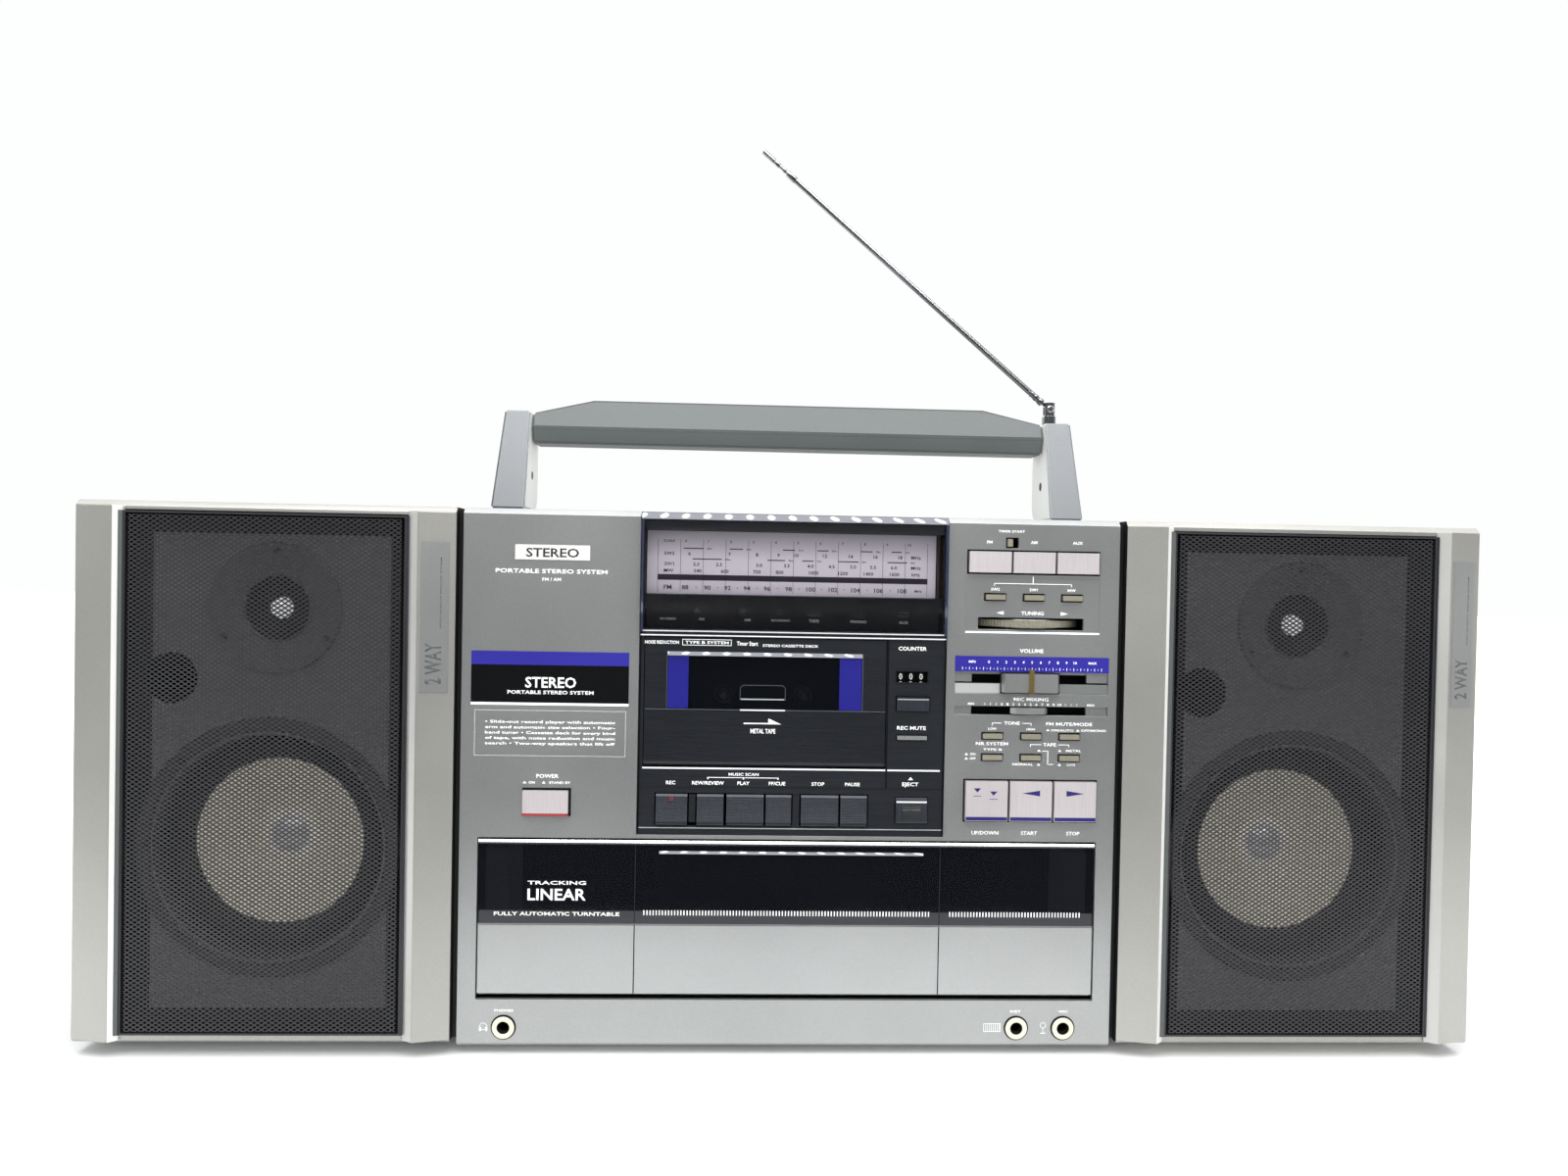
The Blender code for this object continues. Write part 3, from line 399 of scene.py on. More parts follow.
def finish_piece(name, bm, body, looks, replaces=(), smooth=True):
    """Turns the built shape into a piece that rides on a body."""
    bmesh.ops.recalc_face_normals(bm, faces=bm.faces)
    thing = mesh_object(name, bm)
    mesh = thing.data
    for entry in looks if isinstance(looks, (list, tuple)) else [looks]:
        mesh.materials.append(entry)
    if smooth:
        mesh.shade_smooth()
        mesh.set_sharp_from_angle(angle=SMOOTH_ANGLE)
    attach(thing, body)
    if replaces:
        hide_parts(*replaces)
    return thing


def shell(node, looks, edge=0.4, pick=None, carve=(), name=None):
    """A piece with a CAD node's own shape, its edges softened, its faces sorted into looks by pick.

    carve is a list of functions that each add a cutter to a mesh."""
    bm = bmesh.new()
    bm.from_mesh(NODES[node].data)
    bmesh.ops.remove_doubles(bm, verts=bm.verts, dist=1e-6)
    if carve:
        bm = carved(bm, carve)
    bmesh.ops.dissolve_limit(bm, angle_limit=math.radians(1), verts=bm.verts, edges=bm.edges)
    for face in bm.faces:
        face.material_index = 0
    bm.normal_update()
    soften(bm, list(bm.faces), edge)
    bm.normal_update()
    if pick:
        for face in bm.faces:
            centre = face.calc_center_median()
            mm = (centre.x / MM, (centre.y - FRONT_M) / MM, centre.z / MM)
            face.material_index = pick(mm, face.normal)
    made = finish_piece(name or f"{node}_body", bm, BODY_OF[node], looks, (node,))
    weighted = made.modifiers.new("even_shading", "WEIGHTED_NORMAL")
    weighted.keep_sharp = True
    return made


def carved(bm, carve):
    """The mesh with cutters taken out of it."""
    base = mesh_object("carve", bm)
    cutters = []
    for source in carve:
        part = bmesh.new()
        source(part)
        bmesh.ops.recalc_face_normals(part, faces=part.faces)
        cutters.append(mesh_object("carve", part))
    for cutter in cutters:
        cut = base.modifiers.new("cut", "BOOLEAN")
        cut.operation = "DIFFERENCE"
        cut.solver = "EXACT"
        cut.object = cutter
    bpy.context.view_layer.update()
    whole = base.evaluated_get(bpy.context.evaluated_depsgraph_get())
    result = bmesh.new()
    result.from_mesh(whole.to_mesh())
    whole.to_mesh_clear()
    for thing in (base, *cutters):
        mesh = thing.data
        bpy.data.objects.remove(thing)
        bpy.data.meshes.remove(mesh)
    return result


def boxes(*rows, edge=0.0):
    """A cutter of several boxes that don't touch."""
    def build(bm):
        for x, depth, z in rows:
            add_box(bm, x, depth, z, edge)
    return build


# ---------------------------------------------------------------- lettering

INKS = {"white": INK_WHITE_GLOWING, "grey": INK_GREY, "dark": INK_DARK, "navy": INK_NAVY, "red": INK_RED,
        "blue": BLUE,
        "black": BLACK_PRINT_AND_SHADE, "gold": GOLD, "shade": SHADE_GREY, "silver": SILVER_LIGHT}
PRINTS = {}


def sheet_for(body, ink):
    return PRINTS.setdefault((body, ink), bmesh.new())


def letters(text):
    """The outline of a word as a mesh, 1 unit high letters, with its corners."""
    curve = bpy.data.curves.new("letters", "FONT")
    curve.body = text
    curve.resolution_u = 2
    curve.offset = LETTER_WEIGHT
    thing = in_scene("letters", curve)
    bpy.context.view_layer.update()
    whole = thing.evaluated_get(bpy.context.evaluated_depsgraph_get())
    mesh = bpy.data.meshes.new_from_object(whole)
    bpy.data.objects.remove(thing)
    bpy.data.curves.remove(curve)
    return mesh


def cap_height():
    mesh = letters("H")
    tall = max(v.co.y for v in mesh.vertices) - min(v.co.y for v in mesh.vertices)
    bpy.data.meshes.remove(mesh)
    return tall


CAP = cap_height()


def letter_solid(text):
    """A word as a mesh 1 unit thick, with the middle of its width and its width."""
    mesh = letters(text)
    xs = [v.co.x for v in mesh.vertices]
    bm = bmesh.new()
    bm.from_mesh(mesh)
    bpy.data.meshes.remove(mesh)
    made = bmesh.ops.extrude_face_region(bm, geom=list(bm.faces))
    for v in made["geom"]:
        if isinstance(v, bmesh.types.BMVert):
            v.co.z += 1.0
    return bm, (max(xs) + min(xs)) / 2, max(xs) - min(xs)


def write(text, x, z, tall, wide=None, ink="white", body="centre_unit", depth=0.0, turn=0.0, rear=False,
          lean=0.0):
    """Raised ink letters with capitals of a height and a total width, centred, on a face that looks forwards.

    lean is the face's gain in depth per millimetre of x."""
    bm, middle, width = letter_solid(text)
    up = tall / CAP
    across = wide / width if wide else up * LETTER_WIDTH
    spin = Matrix.Rotation(turn, 2)
    side = -1 if rear else 1
    for v in bm.verts:
        flat = spin @ Vector(((v.co.x - middle) * across, (v.co.y - CAP / 2) * up))
        v.co = at(x + side * flat.x, depth + lean * flat.x - side * INK_RISE * v.co.z, z + flat.y)
    add_to_sheet(bm, body, ink)


def add_to_sheet(bm, body, ink):
    mesh = bpy.data.meshes.new("ink")
    bm.to_mesh(mesh)
    bm.free()
    sheet_for(body, ink).from_mesh(mesh)
    bpy.data.meshes.remove(mesh)


def stripe(x, z, ink="white", body="centre_unit", depth=0.0, rise=INK_RISE):
    """A printed rectangle."""
    add_box(sheet_for(body, ink), x, (depth - rise, depth + INK_SUNK), z)


def printed(outline, ink="white", body="centre_unit", depth=0.0):
    """A printed shape from its (x, z) corners."""
    add_prism(sheet_for(body, ink), "Y", outline, (depth - INK_RISE, depth + INK_SUNK))


def outline_box(x, z, ink, line=0.25, body="centre_unit", depth=0.0):
    for row in ((x[0], x[0] + line), (x[1] - line, x[1])):
        stripe(row, z, ink, body, depth)
    for row in ((z[0], z[0] + line), (z[1] - line, z[1])):
        stripe((x[0] + line, x[1] - line), row, ink, body, depth)


def circle(x, z, radius, ink, body="centre_unit", depth=0.0, line=0.2):
    add_ring(sheet_for(body, ink), (x, depth, z), ring_profile(radius - line, radius, -INK_RISE, INK_SUNK),
             24)


def arrow(x, z, wide, tall, way, ink="white", body="centre_unit", depth=0.0):
    """A filled triangle that points left, right, up or down."""
    w, h = wide / 2, tall / 2
    corners = {
        "left": [(w, h), (w, -h), (-w, 0)], "right": [(-w, h), (-w, -h), (w, 0)],
        "up": [(-w, -h), (w, -h), (0, h)], "down": [(-w, h), (w, h), (0, -h)],
    }[way]
    printed([(x + a, z + b) for a, b in corners], ink, body, depth)


def bracket(left, right, z, drop, ink="white"):
    """A thin line with its ends turned down."""
    stripe((left, right), (z - 0.15, z + 0.15), ink)
    for x in (left, right):
        stripe((x - 0.15, x + 0.15), (z - drop, z), ink)


# ---------------------------------------------------------------- centre unit

def screw(bm, x, depth, z, radius=2.6, index=0, back=True):
    """A countersunk screw that lies flush, with a round recess in its middle."""
    way = -1 if back else 1
    add_turned(bm, "Y", (x, depth, z), [
        (0, 0.35 * way), (0.8, 0.35 * way), (1.0, 0.12 * way), (radius - 0.3, 0.05 * way), (radius,
                                                                                            0.3 * way),
        (radius, 1.2 * way), (0, 1.2 * way)], 20, index)


def fascia():
    """The silver front moulding, with a recess for the tuning panel and dark linings in its slots."""
    carve = [boxes(((89.4, 160.3), (-1, 0.5), (222.9, 252.2)))]
    shell("front_panel", [SILVER, MATT_BLACK], 0.5, carve=carve,
          pick=lambda p, n: 1 if p[1] > 2.9 and n.y > 0.5 else 0)


def cabinet():
    """The case behind the fascia, with vents, a battery cover, an inlet and screws at the back."""
    rear = spans("rear_cabinet")[1][1]
    vents = []
    for column in (-95.0, -35.0, 25.0, 85.0):
        for row in range(9):
            vents.append(((column, column + 46.0), (rear - 1.6, rear + 5), (232.0 + row * 4.2,
                         234.0 + row * 4.2)))
    seam = []
    for x in ((-66.0, -65.4), (121.4, 122.0)):
        seam.append((x, (rear - 0.8, rear + 5), (34.0, 108.0)))
    for z in ((33.4, 34.0), (108.0, 108.6)):
        seam.append(((-66.0, 122.0), (rear - 0.8, rear + 5), z))
    plate = [((-60.0, 20.0), (rear - 0.4, rear + 5), (150.0, 205.0)),
             ((-142.0, -110.0), (rear - 0.3, rear + 5), (120.6, 126.4)),
             ((-8.0, 64.0), (rear - 0.3, rear + 5), (66.4, 73.6))]
    holes = [((x - 3.2, x + 3.2), (rear - 1.3, rear + 5), (z - 3.2, z + 3.2))
             for x in SCREW_X for z in SCREW_Z]

    def sort(p, n):
        if p[2] < 4.3:
            return 2
        inside = 20 < p[1] < rear - 1.0 and abs(p[0]) < 167 and 8 < p[2] < 279
        return 1 if inside or (abs(n.x) > 0.9 and p[2] < 281) or p[1] < 16 else 0

    shell("rear_cabinet", [GREY, MATT_BLACK, RUBBER], 0.6,
          carve=[boxes(*vents), boxes(*seam[:2]), boxes(*seam[2:]), boxes(*plate), boxes(*holes)],
          pick=sort)
    bits = bmesh.new()
    for x in SCREW_X:
        for z in SCREW_Z:
            screw(bits, x, rear - 0.1, z)
    add_box(bits, (-59.6, 19.6), (rear - 0.42, rear - 0.2), (150.4, 204.6), 0.1, 1)
    for x in (-131.0, -121.0):
        add_bar(bits, (x, 0, 140.0), 1.2, (180.0, 190.0), sides=12, index=0, edge=0.3)
    for x in (-40.0, 28.0, 96.0):
        add_box(bits, (x - 8.0, x + 8.0), (rear - 0.5, rear - 0.02), (99.0, 105.0), 0.2, 2)
    finish_piece("cabinet_rear_fittings", bits, "centre_unit", [SATIN_STEEL, BLACK, GREY])
    write("AC INPUT", -126.0, 123.5, 2.4, ink="white", depth=rear - 0.3, rear=True)
    write("BATTERY COMPARTMENT", 28.0, 70.0, 3.0, ink="white", depth=rear - 0.3, rear=True)
    write("STEREO RADIO CASSETTE", -20.0, 195.0, 3.0, wide=60.0, depth=rear - 0.2, rear=True)
    for row in range(6):
        stripe((-52.0, 12.0 - row * 4.0), (185.5 - row * 5.5, 185.8 - row * 5.5), "grey",
               depth=rear - 0.2, rise=-0.04)


def left_panel():
    """The badge, the blue and black bands, the framed lines of text and the power button's words."""
    plate = bmesh.new()
    add_box(plate, (-144.1, -105.9), (-0.5, 0.2), (255.9, 263.6), 0.2)
    finish_piece("badge_plate", plate, "centre_unit", WHITE)
    write("STEREO", -125.0, 259.7, 4.6, wide=27.0, ink="dark", depth=-0.5)
    write("PORTABLE STEREO SYSTEM", -125.4, 250.1, 2.1, wide=57.0)
    write("FM / AM", -125.4, 245.9, 1.7, wide=9.5)
    left, right = -165.6, -85.0
    stripe((left, right), (201.7, 208.7), "blue", rise=0.12)
    stripe((left, right), (182.4, 201.7), "black", rise=0.12)
    stripe((left, right), (181.0, 182.2), "white", rise=0.12)
    write("STEREO", -125.0, 192.9, 5.4, wide=26.0, depth=-0.12)
    write("PORTABLE STEREO SYSTEM", -125.0, 187.7, 1.8, wide=44.0, depth=-0.12)
    outline_box((-163.6, -86.2), (154.7, 178.4), "grey", 0.35)
    lines = (
        "• Slide-out record player with automatic",
        "arm and automatic size selection • Four-",
        "band tuner • Cassette deck for every kind",
        "of tape, with noise reduction and music",
        "search • Two-way speakers that lift off",
    )
    for row, line in enumerate(lines):
        write(line, -124.9, 172.4 - row * 2.78, 1.45, wide=66.5)
    write("POWER", -125.9, 144.5, 2.0, wide=11.5)
    write("ON", -134.0, 141.1, 1.3)
    write("STAND BY", -119.6, 141.1, 1.3, wide=11.0)
    for x in (-137.6, -127.8):
        arrow(x, 141.2, 2.0, 1.2, "up")


def hooked_line(left, right, end, z):
    """A thin line along the top of a span of heights, with one end turned down."""
    stripe((left, right), (z[1] - 0.3, z[1]))
    stripe((end - 0.15, end + 0.15), z)


def right_panel():
    """Printed words, brackets and scales on the right side of the fascia."""
    write("TIMER START", 112.9, 275.4, 1.2, wide=14.0)
    for text, x, z in (("FM", 101.4, 269.6), ("AM", 124.8, 269.8), ("AUX", 148.0, 269.9)):
        write(text, x, z, 1.6)
    stripe((124.6, 125.0), (247.9, 252.0))
    bracket(104.4, 145.1, 248.1, 1.4)
    for text, x in (("SW2", 105.0), ("SW1", 125.2), ("MW", 145.4)):
        write(text, x, 245.0, 1.5, depth=0.5)
    write("TUNING", 124.9, 232.7, 1.9, wide=12.0, depth=0.5)
    arrow(107.7, 232.7, 3.8, 1.9, "left", depth=0.5)
    arrow(141.8, 232.7, 3.8, 1.9, "right", depth=0.5)
    stripe((89.5, 160.4), (222.0, 222.9), "white")
    write("VOLUME", 124.8, 213.0, 2.0, wide=12.6)
    stripe((84.5, 165.9), (201.9, 209.9), "blue", rise=0.3)
    write("MIN", 93.4, 207.0, 1.3, depth=-0.3)
    write("MAX", 157.2, 207.0, 1.3, depth=-0.3)
    for number in range(11):
        write(str(number), 102.3 + number * 4.56, 207.0, 1.35, depth=-0.3)
    for tick in range(41):
        tall = 1.5 if tick % 2 == 0 else 0.5
        x = 88.4 + tick * 1.84
        stripe((x - 0.12, x + 0.12), (203.5 - tall / 2, 203.5 + tall / 2), "white", depth=-0.3)
    write("MIC MIXING", 125.0, 187.6, 1.8, wide=18.5)
    write("MIN", 93.3, 184.9, 1.2)
    write("MAX", 156.9, 184.9, 1.2)
    for number in range(11):
        write(str(number), 109.6 + number * 3.05, 184.9, 1.3, wide=1.1 if number < 10 else 2.0)
    for x in (100.6, 103.6, 106.6, 143.3, 146.4, 149.4):
        stripe((x - 0.12, x + 0.12), (184.3, 185.5))
    write("TONE", 115.2, 175.0, 1.7, wide=8.4)
    hooked_line(104.8, 109.6, 104.8, (173.6, 175.1))
    hooked_line(120.6, 125.3, 125.3, (173.6, 175.1))
    write("LOW", 104.9, 171.9, 1.2)
    write("HIGH", 125.2, 171.9, 1.2)
    write("FM MUTE/MODE", 145.6, 174.8, 1.7, wide=24.5)
    write("ON/AUTO", 142.0, 171.5, 1.2, wide=12.0)
    write("OFF/MONO", 158.6, 171.5, 1.2, wide=13.4)
    arrow(134.3, 171.6, 1.9, 1.1, "up")
    arrow(150.2, 171.6, 1.9, 1.1, "up")
    write("NR SYSTEM", 104.8, 164.1, 1.7, wide=17.0)
    write("TYPE B", 105.2, 161.0, 1.2, wide=10.0)
    for text, z in (("ON", 158.5), ("OFF", 156.2)):
        write(text, 94.8, z, 1.2)
        arrow(91.4, z, 1.9, 1.1, "up")
    write("TAPE", 135.4, 163.9, 1.7, wide=7.0)
    hooked_line(125.2, 131.0, 125.2, (162.6, 164.0))
    hooked_line(140.0, 145.6, 145.6, (162.6, 164.0))
    write("METAL", 148.2, 160.8, 1.2, wide=8.0)
    write("NORMAL", 121.4, 153.4, 1.2, wide=11.0)
    write("CrO2", 146.9, 153.4, 1.2)
    stripe((134.4, 134.7), (153.5, 160.6))
    stripe((131.5, 134.4), (160.3, 160.6))
    stripe((134.7, 137.5), (153.4, 153.7))
    for x, z in ((129.8, 160.8), (140.8, 160.8), (129.8, 153.4), (140.8, 153.4)):
        arrow(x, z, 1.9, 1.1, "up")
    for text, x in (("UP/DOWN", 102.1), ("START", 125.5), ("STOP", 148.8)):
        write(text, x, 117.2, 1.9)


def slider_slots():
    """The stepped recess behind the two sliders: dark lining, side blocks and a light ledge, darker right of
    the volume knob as painted shade.
    """
    bm = bmesh.new()
    x0, x1 = spans("volume_slider")[0]
    middle = (x0 + x1) / 2
    low, high = 84.7, 165.7
    add_box(bm, (low, high), (12.1, 12.2), (179.0, 202.0), 0, 0)
    for a, b in ((low, 93.6), (154.6, high)):
        add_box(bm, (a, b), (1.2, 2.6), (196.4, 201.8), 0.2, 1)
        add_box(bm, (a, b), (1.2, 2.6), (179.3, 183.7), 0.2, 1)
    add_box(bm, (low, high), (2.2, 3.0), (200.4, 201.8), 0, 1)
    add_box(bm, (low, middle - 4.6), (0.4, 2.4), (190.5, 195.6), 0.25, 2)
    # The right ledge takes the darker copy: painted shade.
    add_box(bm, (middle + 4.6, high), (0.4, 2.4), (190.5, 195.6), 0.25, 3)
    finish_piece("slider_recess_trim", bm, "centre_unit", [MATT_BLACK, SILVER, LEDGE_AND_HIGHLIGHT, LEDGE_SHADE])


def button_gap(node, line=0.6):
    """A black printed line round a button: painted shade for the gap round it."""
    x, _, z = spans(node)
    outline_box((x[0] - line, x[1] + line), (z[0] - line, z[1] + line), "black", line)


def plain_button(node, name_look, edge=0.5, extra=None, inset=(0.2, 0.2)):
    """A push button with rounded edges and a flat face."""
    x, depth, z = spans(node)
    bm = bmesh.new()
    x = (x[0] + inset[0], x[1] - inset[0])
    z = (z[0] + inset[1], z[1] - inset[1])
    add_box(bm, x, depth, z, edge)
    looks = [name_look]
    if extra:
        looks += extra(bm, x, depth, z)
    finish_piece(f"{node}_cap", bm, BODY_OF[node], looks, (node,))


def fascia_buttons():
    def blue_foot(bm, x, depth, z):
        add_box(bm, (x[0] + 0.2, x[1] - 0.2), (depth[0] - 0.06, depth[0] + 1), (z[0] + 0.3, z[0] + 2.2),
                0.2, 1)
        return [INK_NAVY]

    x, depth, z = spans("power_button")
    bm = bmesh.new()
    add_box(bm, x, depth, (z[0] + 1.3, z[1]), 0.5)
    add_box(bm, x, (depth[0] + 0.1, depth[1]), (z[0], z[0] + 1.3), 0.25, 1)
    finish_piece("power_button_cap", bm, "power_button", [PEARL, INK_RED], ("power_button",))
    # A black patch behind the power button: painted shade for its gap.
    stripe((x[0] - 0.4, x[1] + 1.3), (z[0] - 0.3, z[1] + 1.2), "black")
    for name in ("fm", "am", "aux"):
        plain_button(f"source_button_{name}", PEARL, inset=(0.4, 0.3))
    for name in ("updown", "start", "stop"):
        node = f"turntable_{name}_button"
        plain_button(node, PEARL, 0.5, blue_foot, (0.4, 0.3))
        x, depth, z = spans(node)
        middle = (x[0] + x[1]) / 2
        face = depth[0]
        if name == "updown":
            for dx, dz in ((-5.0, 0.0), (3.6, -1.6)):
                arrow(middle + dx, z[1] - 5.0 + dz, 3.8, 2.2, "down", "navy", node, face)
                stripe((middle + dx - 2.1, middle + dx + 2.1), (z[1] - 8.1 + dz, z[1] - 7.8 + dz), "navy",
                       node, face)
        else:
            way = "left" if name == "start" else "right"
            arrow(middle, z[1] - 6.3, 9.4, 3.0, way, "navy", node, face)
    for node in ("source_button_fm", "source_button_am", "source_button_aux",
                 "turntable_updown_button", "turntable_start_button", "turntable_stop_button"):
        button_gap(node)
    for node in ("band_button_sw2", "band_button_sw1", "band_button_mw", "tone_low_button",
                 "tone_high_button",
                 "mode_button", "noise_button", "tape_button_a", "tape_button_b"):
        plain_button(node, BEIGE, 0.55, inset=(0.3, 0.35))
        x, _, z = spans(node)
        # A black patch behind each beige button, showing round its edges: painted shade for the gap.
        stripe(x, z, "black")
    plain_button("timer_switch", BEIGE, 0.3)


def sliders():
    x, depth, z = spans("volume_slider")
    middle = (x[0] + x[1]) / 2
    bm = bmesh.new()
    face = depth[0]
    outline = [
        (x[0], face + 3.4), (x[0] + 1.2, face + 0.6), (middle - 2, face + 1.4), (middle + 2, face + 1.4),
        (x[1] - 1.2, face + 0.6), (x[1], face + 3.4), (x[1], face + 5.2), (x[0], face + 5.2)]
    add_prism(bm, "Z", outline, z, 0.4)
    add_box(bm, (middle - 3.8, middle + 3.8), (face + 4.7, depth[1]), (z[0] + 5.0, z[1] - 1))
    add_box(bm, (middle - 1.2, middle + 1.2), (face, face + 2.6), (z[0] - 0.5, z[1] + 2.4), 0.4, 1)
    # A black plate just behind the knob's face, a little wider than it: painted shade for the gap round the
    # knob.
    add_box(bm, (x[0] - 0.5, x[1] + 0.5), (face + 4.2, face + 4.8), (z[0] - 0.5, z[1] + 0.5), 0, 2)
    finish_piece("volume_knob", bm, "volume_slider", [SILVER, GOLD, MATT_BLACK], ("volume_slider",))
    x, depth, z = spans("mic_slider")
    middle = (x[0] + x[1]) / 2
    bm = bmesh.new()
    outline = [(x[0], 1.0), (x[0] + 2.5, depth[0] + 1.2), (middle, depth[0]), (x[1] - 2.5, depth[0] + 1.2),
               (x[1], 1.0)]
    add_prism(bm, "Z", outline, z, 0.35)
    add_box(bm, (middle - 3.8, middle + 3.8), (0.6, depth[1]), (z[0] + 0.8, z[1] - 0.8))
    finish_piece("mic_knob", bm, "mic_slider", SILVER_LIGHT, ("mic_slider",))


def tuning_wheel():
    """The knurled thumb wheel, with the drum that the dial cord runs on."""
    low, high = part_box("tuning_wheel")
    middle = ((low.x + high.x) / 2 / MM, ((low.y + high.y) / 2 - FRONT_M) / MM)
    radius = (high.x - low.x) / 2 / MM
    z0 = low.z / MM
    bm = bmesh.new()
    disc, tip = (z0 + 4.0, z0 + 8.5), high.z / MM
    teeth = 120
    outline = []
    for k in range(teeth * 2):
        angle = math.pi * k / teeth
        reach = radius - (0.0 if k % 2 else 0.45)
        outline.append((middle[0] + reach * math.cos(angle), middle[1] + reach * math.sin(angle)))
    add_prism(bm, "Z", outline, (disc[0] + 0.5, disc[1] - 0.5), 0, 0)
    add_bar(bm, (*middle, 0), radius - 0.5, (disc[0], disc[1]), "Z", 96, 1, 0.4)
    add_bar(bm, (*middle, 0), 7.8, (disc[1] - 0.5, tip), "Z", 32, 1, 0.3)
    add_bar(bm, (*middle, 0), 5.0, (z0, disc[0] + 0.5), "Z", 24, 1, 0.3)
    finish_piece("tuning_wheel_rim", bm, "tuning_wheel", [BEIGE, SATIN_STEEL], ("tuning_wheel",))


def jacks():
    """Socket rims, their icons and words along the bottom edge."""
    bm = bmesh.new()
    for x in JACK_X:
        place = (x, 0, JACK_Z)
        add_ring(bm, place, [(3.3, -1.1), (3.6, -1.3), (5.2, -1.3), (5.7, -0.9), (5.7, 0.4), (3.3, 0.4)], 40)
        add_ring(bm, place, [(5.75, -0.12), (6.5, -0.08), (6.5, 0.05), (5.75, 0.05)], 40, 1)
        add_ring(bm, place, [(2.7, 2.2), (3.2, 1.6), (3.2, 12.0), (2.7, 12.0)], 32, 1)
        add_bar(bm, place, 3.1, (11.0, 12.2), sides=24, index=1)
    finish_piece("jack_rims", bm, "centre_unit", [CREAM_GLOWING, MATT_BLACK, CHROME])
    shell("jack_board", [BROWN_BOARD, MATT_BLACK], 0.1, pick=lambda p,
          n: 1 if p[1] < 13.3 else 0)
    for text, x, wide in (("PHONES", -146.4, 9.6), ("INST", 120.4, 5.6), ("MIC", 146.0, 4.6)):
        write(text, x, 22.9, 1.3, wide=wide)
    circle(-156.8, 14.6, 1.9, "white")
    stripe((-158.9, -157.9), (12.2, 14.2))
    stripe((-155.7, -154.7), (12.2, 14.2))
    outline_box((103.6, 112.6), (12.2, 16.6), "white", 0.2)
    for k in range(8):
        stripe((104.7 + k, 104.9 + k), (12.2, 16.6))
    circle(135.2, 15.6, 1.5, "white")
    stripe((135.1, 135.3), (11.4, 14.2))
    stripe((133.8, 136.6), (11.3, 11.6))


# ---------------------------------------------------------------- tuner


def tuner():
    x, depth, z = spans("tuner_window")
    bm = bmesh.new()
    add_box(bm, x, (depth[0] + 0.6, depth[1]), (z[0], z[1] - 3.4), 0.35, 0)
    rim = 1.1
    for side in ((x[0], x[0] + rim), (x[1] - rim, x[1])):
        add_box(bm, side, (depth[0] + 0.2, depth[1]), (z[0], z[1] - 3.4), 0.3, 1)
    outline = [(depth[1], z[1] - 3.4)] + arc_bevel(depth[0], z[1] - 3.4, z[1], 24.0) + [(depth[1], z[1])]
    add_prism(bm, "X", outline, x, 0, 1)
    finish_piece("tuner_lens", bm, "centre_unit", [CLEAR, LENS_BEVEL], ("tuner_window",))
    lining = bmesh.new()
    add_box(lining, (-77.6, 77.6), (0.2, 8.2), (232.0, 239.3), 0.1, 0)
    add_box(lining, (-77.6, 77.6), (7.4, 8.2), (221.7, 232.2), 0.1, 0)
    add_box(lining, (-77.6, 77.6), (0.2, 8.2), (272.8, 278.3), 0.1, 1)
    finish_piece("tuner_masks", lining, "centre_unit", [GLOSS_BLACK, TUNER_SHADE])
    x, depth, z = spans("dial_plate")
    bm = bmesh.new()
    add_box(bm, x, depth, z, 0.15)
    finish_piece("dial_face", bm, "centre_unit", DIAL_PAINTED_SHADE_GLOW, ("dial_plate",))
    dial_print()
    x, depth, z = spans("dial_pointer")
    bm = bmesh.new()
    add_box(bm, x, depth, z, 0.2)
    finish_piece("dial_needle", bm, "dial_pointer", ORANGE, ("dial_pointer",))
    indicator_row()


def arc_bevel(front, low, high, tilt, spread=1.2):
    """The (depth, z) points of a slightly rounded bevel that leans back by an angle in degrees."""
    steps = 6
    points = []
    slopes = [math.tan(math.radians(tilt + spread * (2 * k / steps - 1))) for k in range(steps)]
    rise = (high - low) / steps
    depth = front
    for k in range(steps):
        points.append((depth, low + k * rise))
        depth += rise * slopes[k]
    points.append((depth, high))
    return points


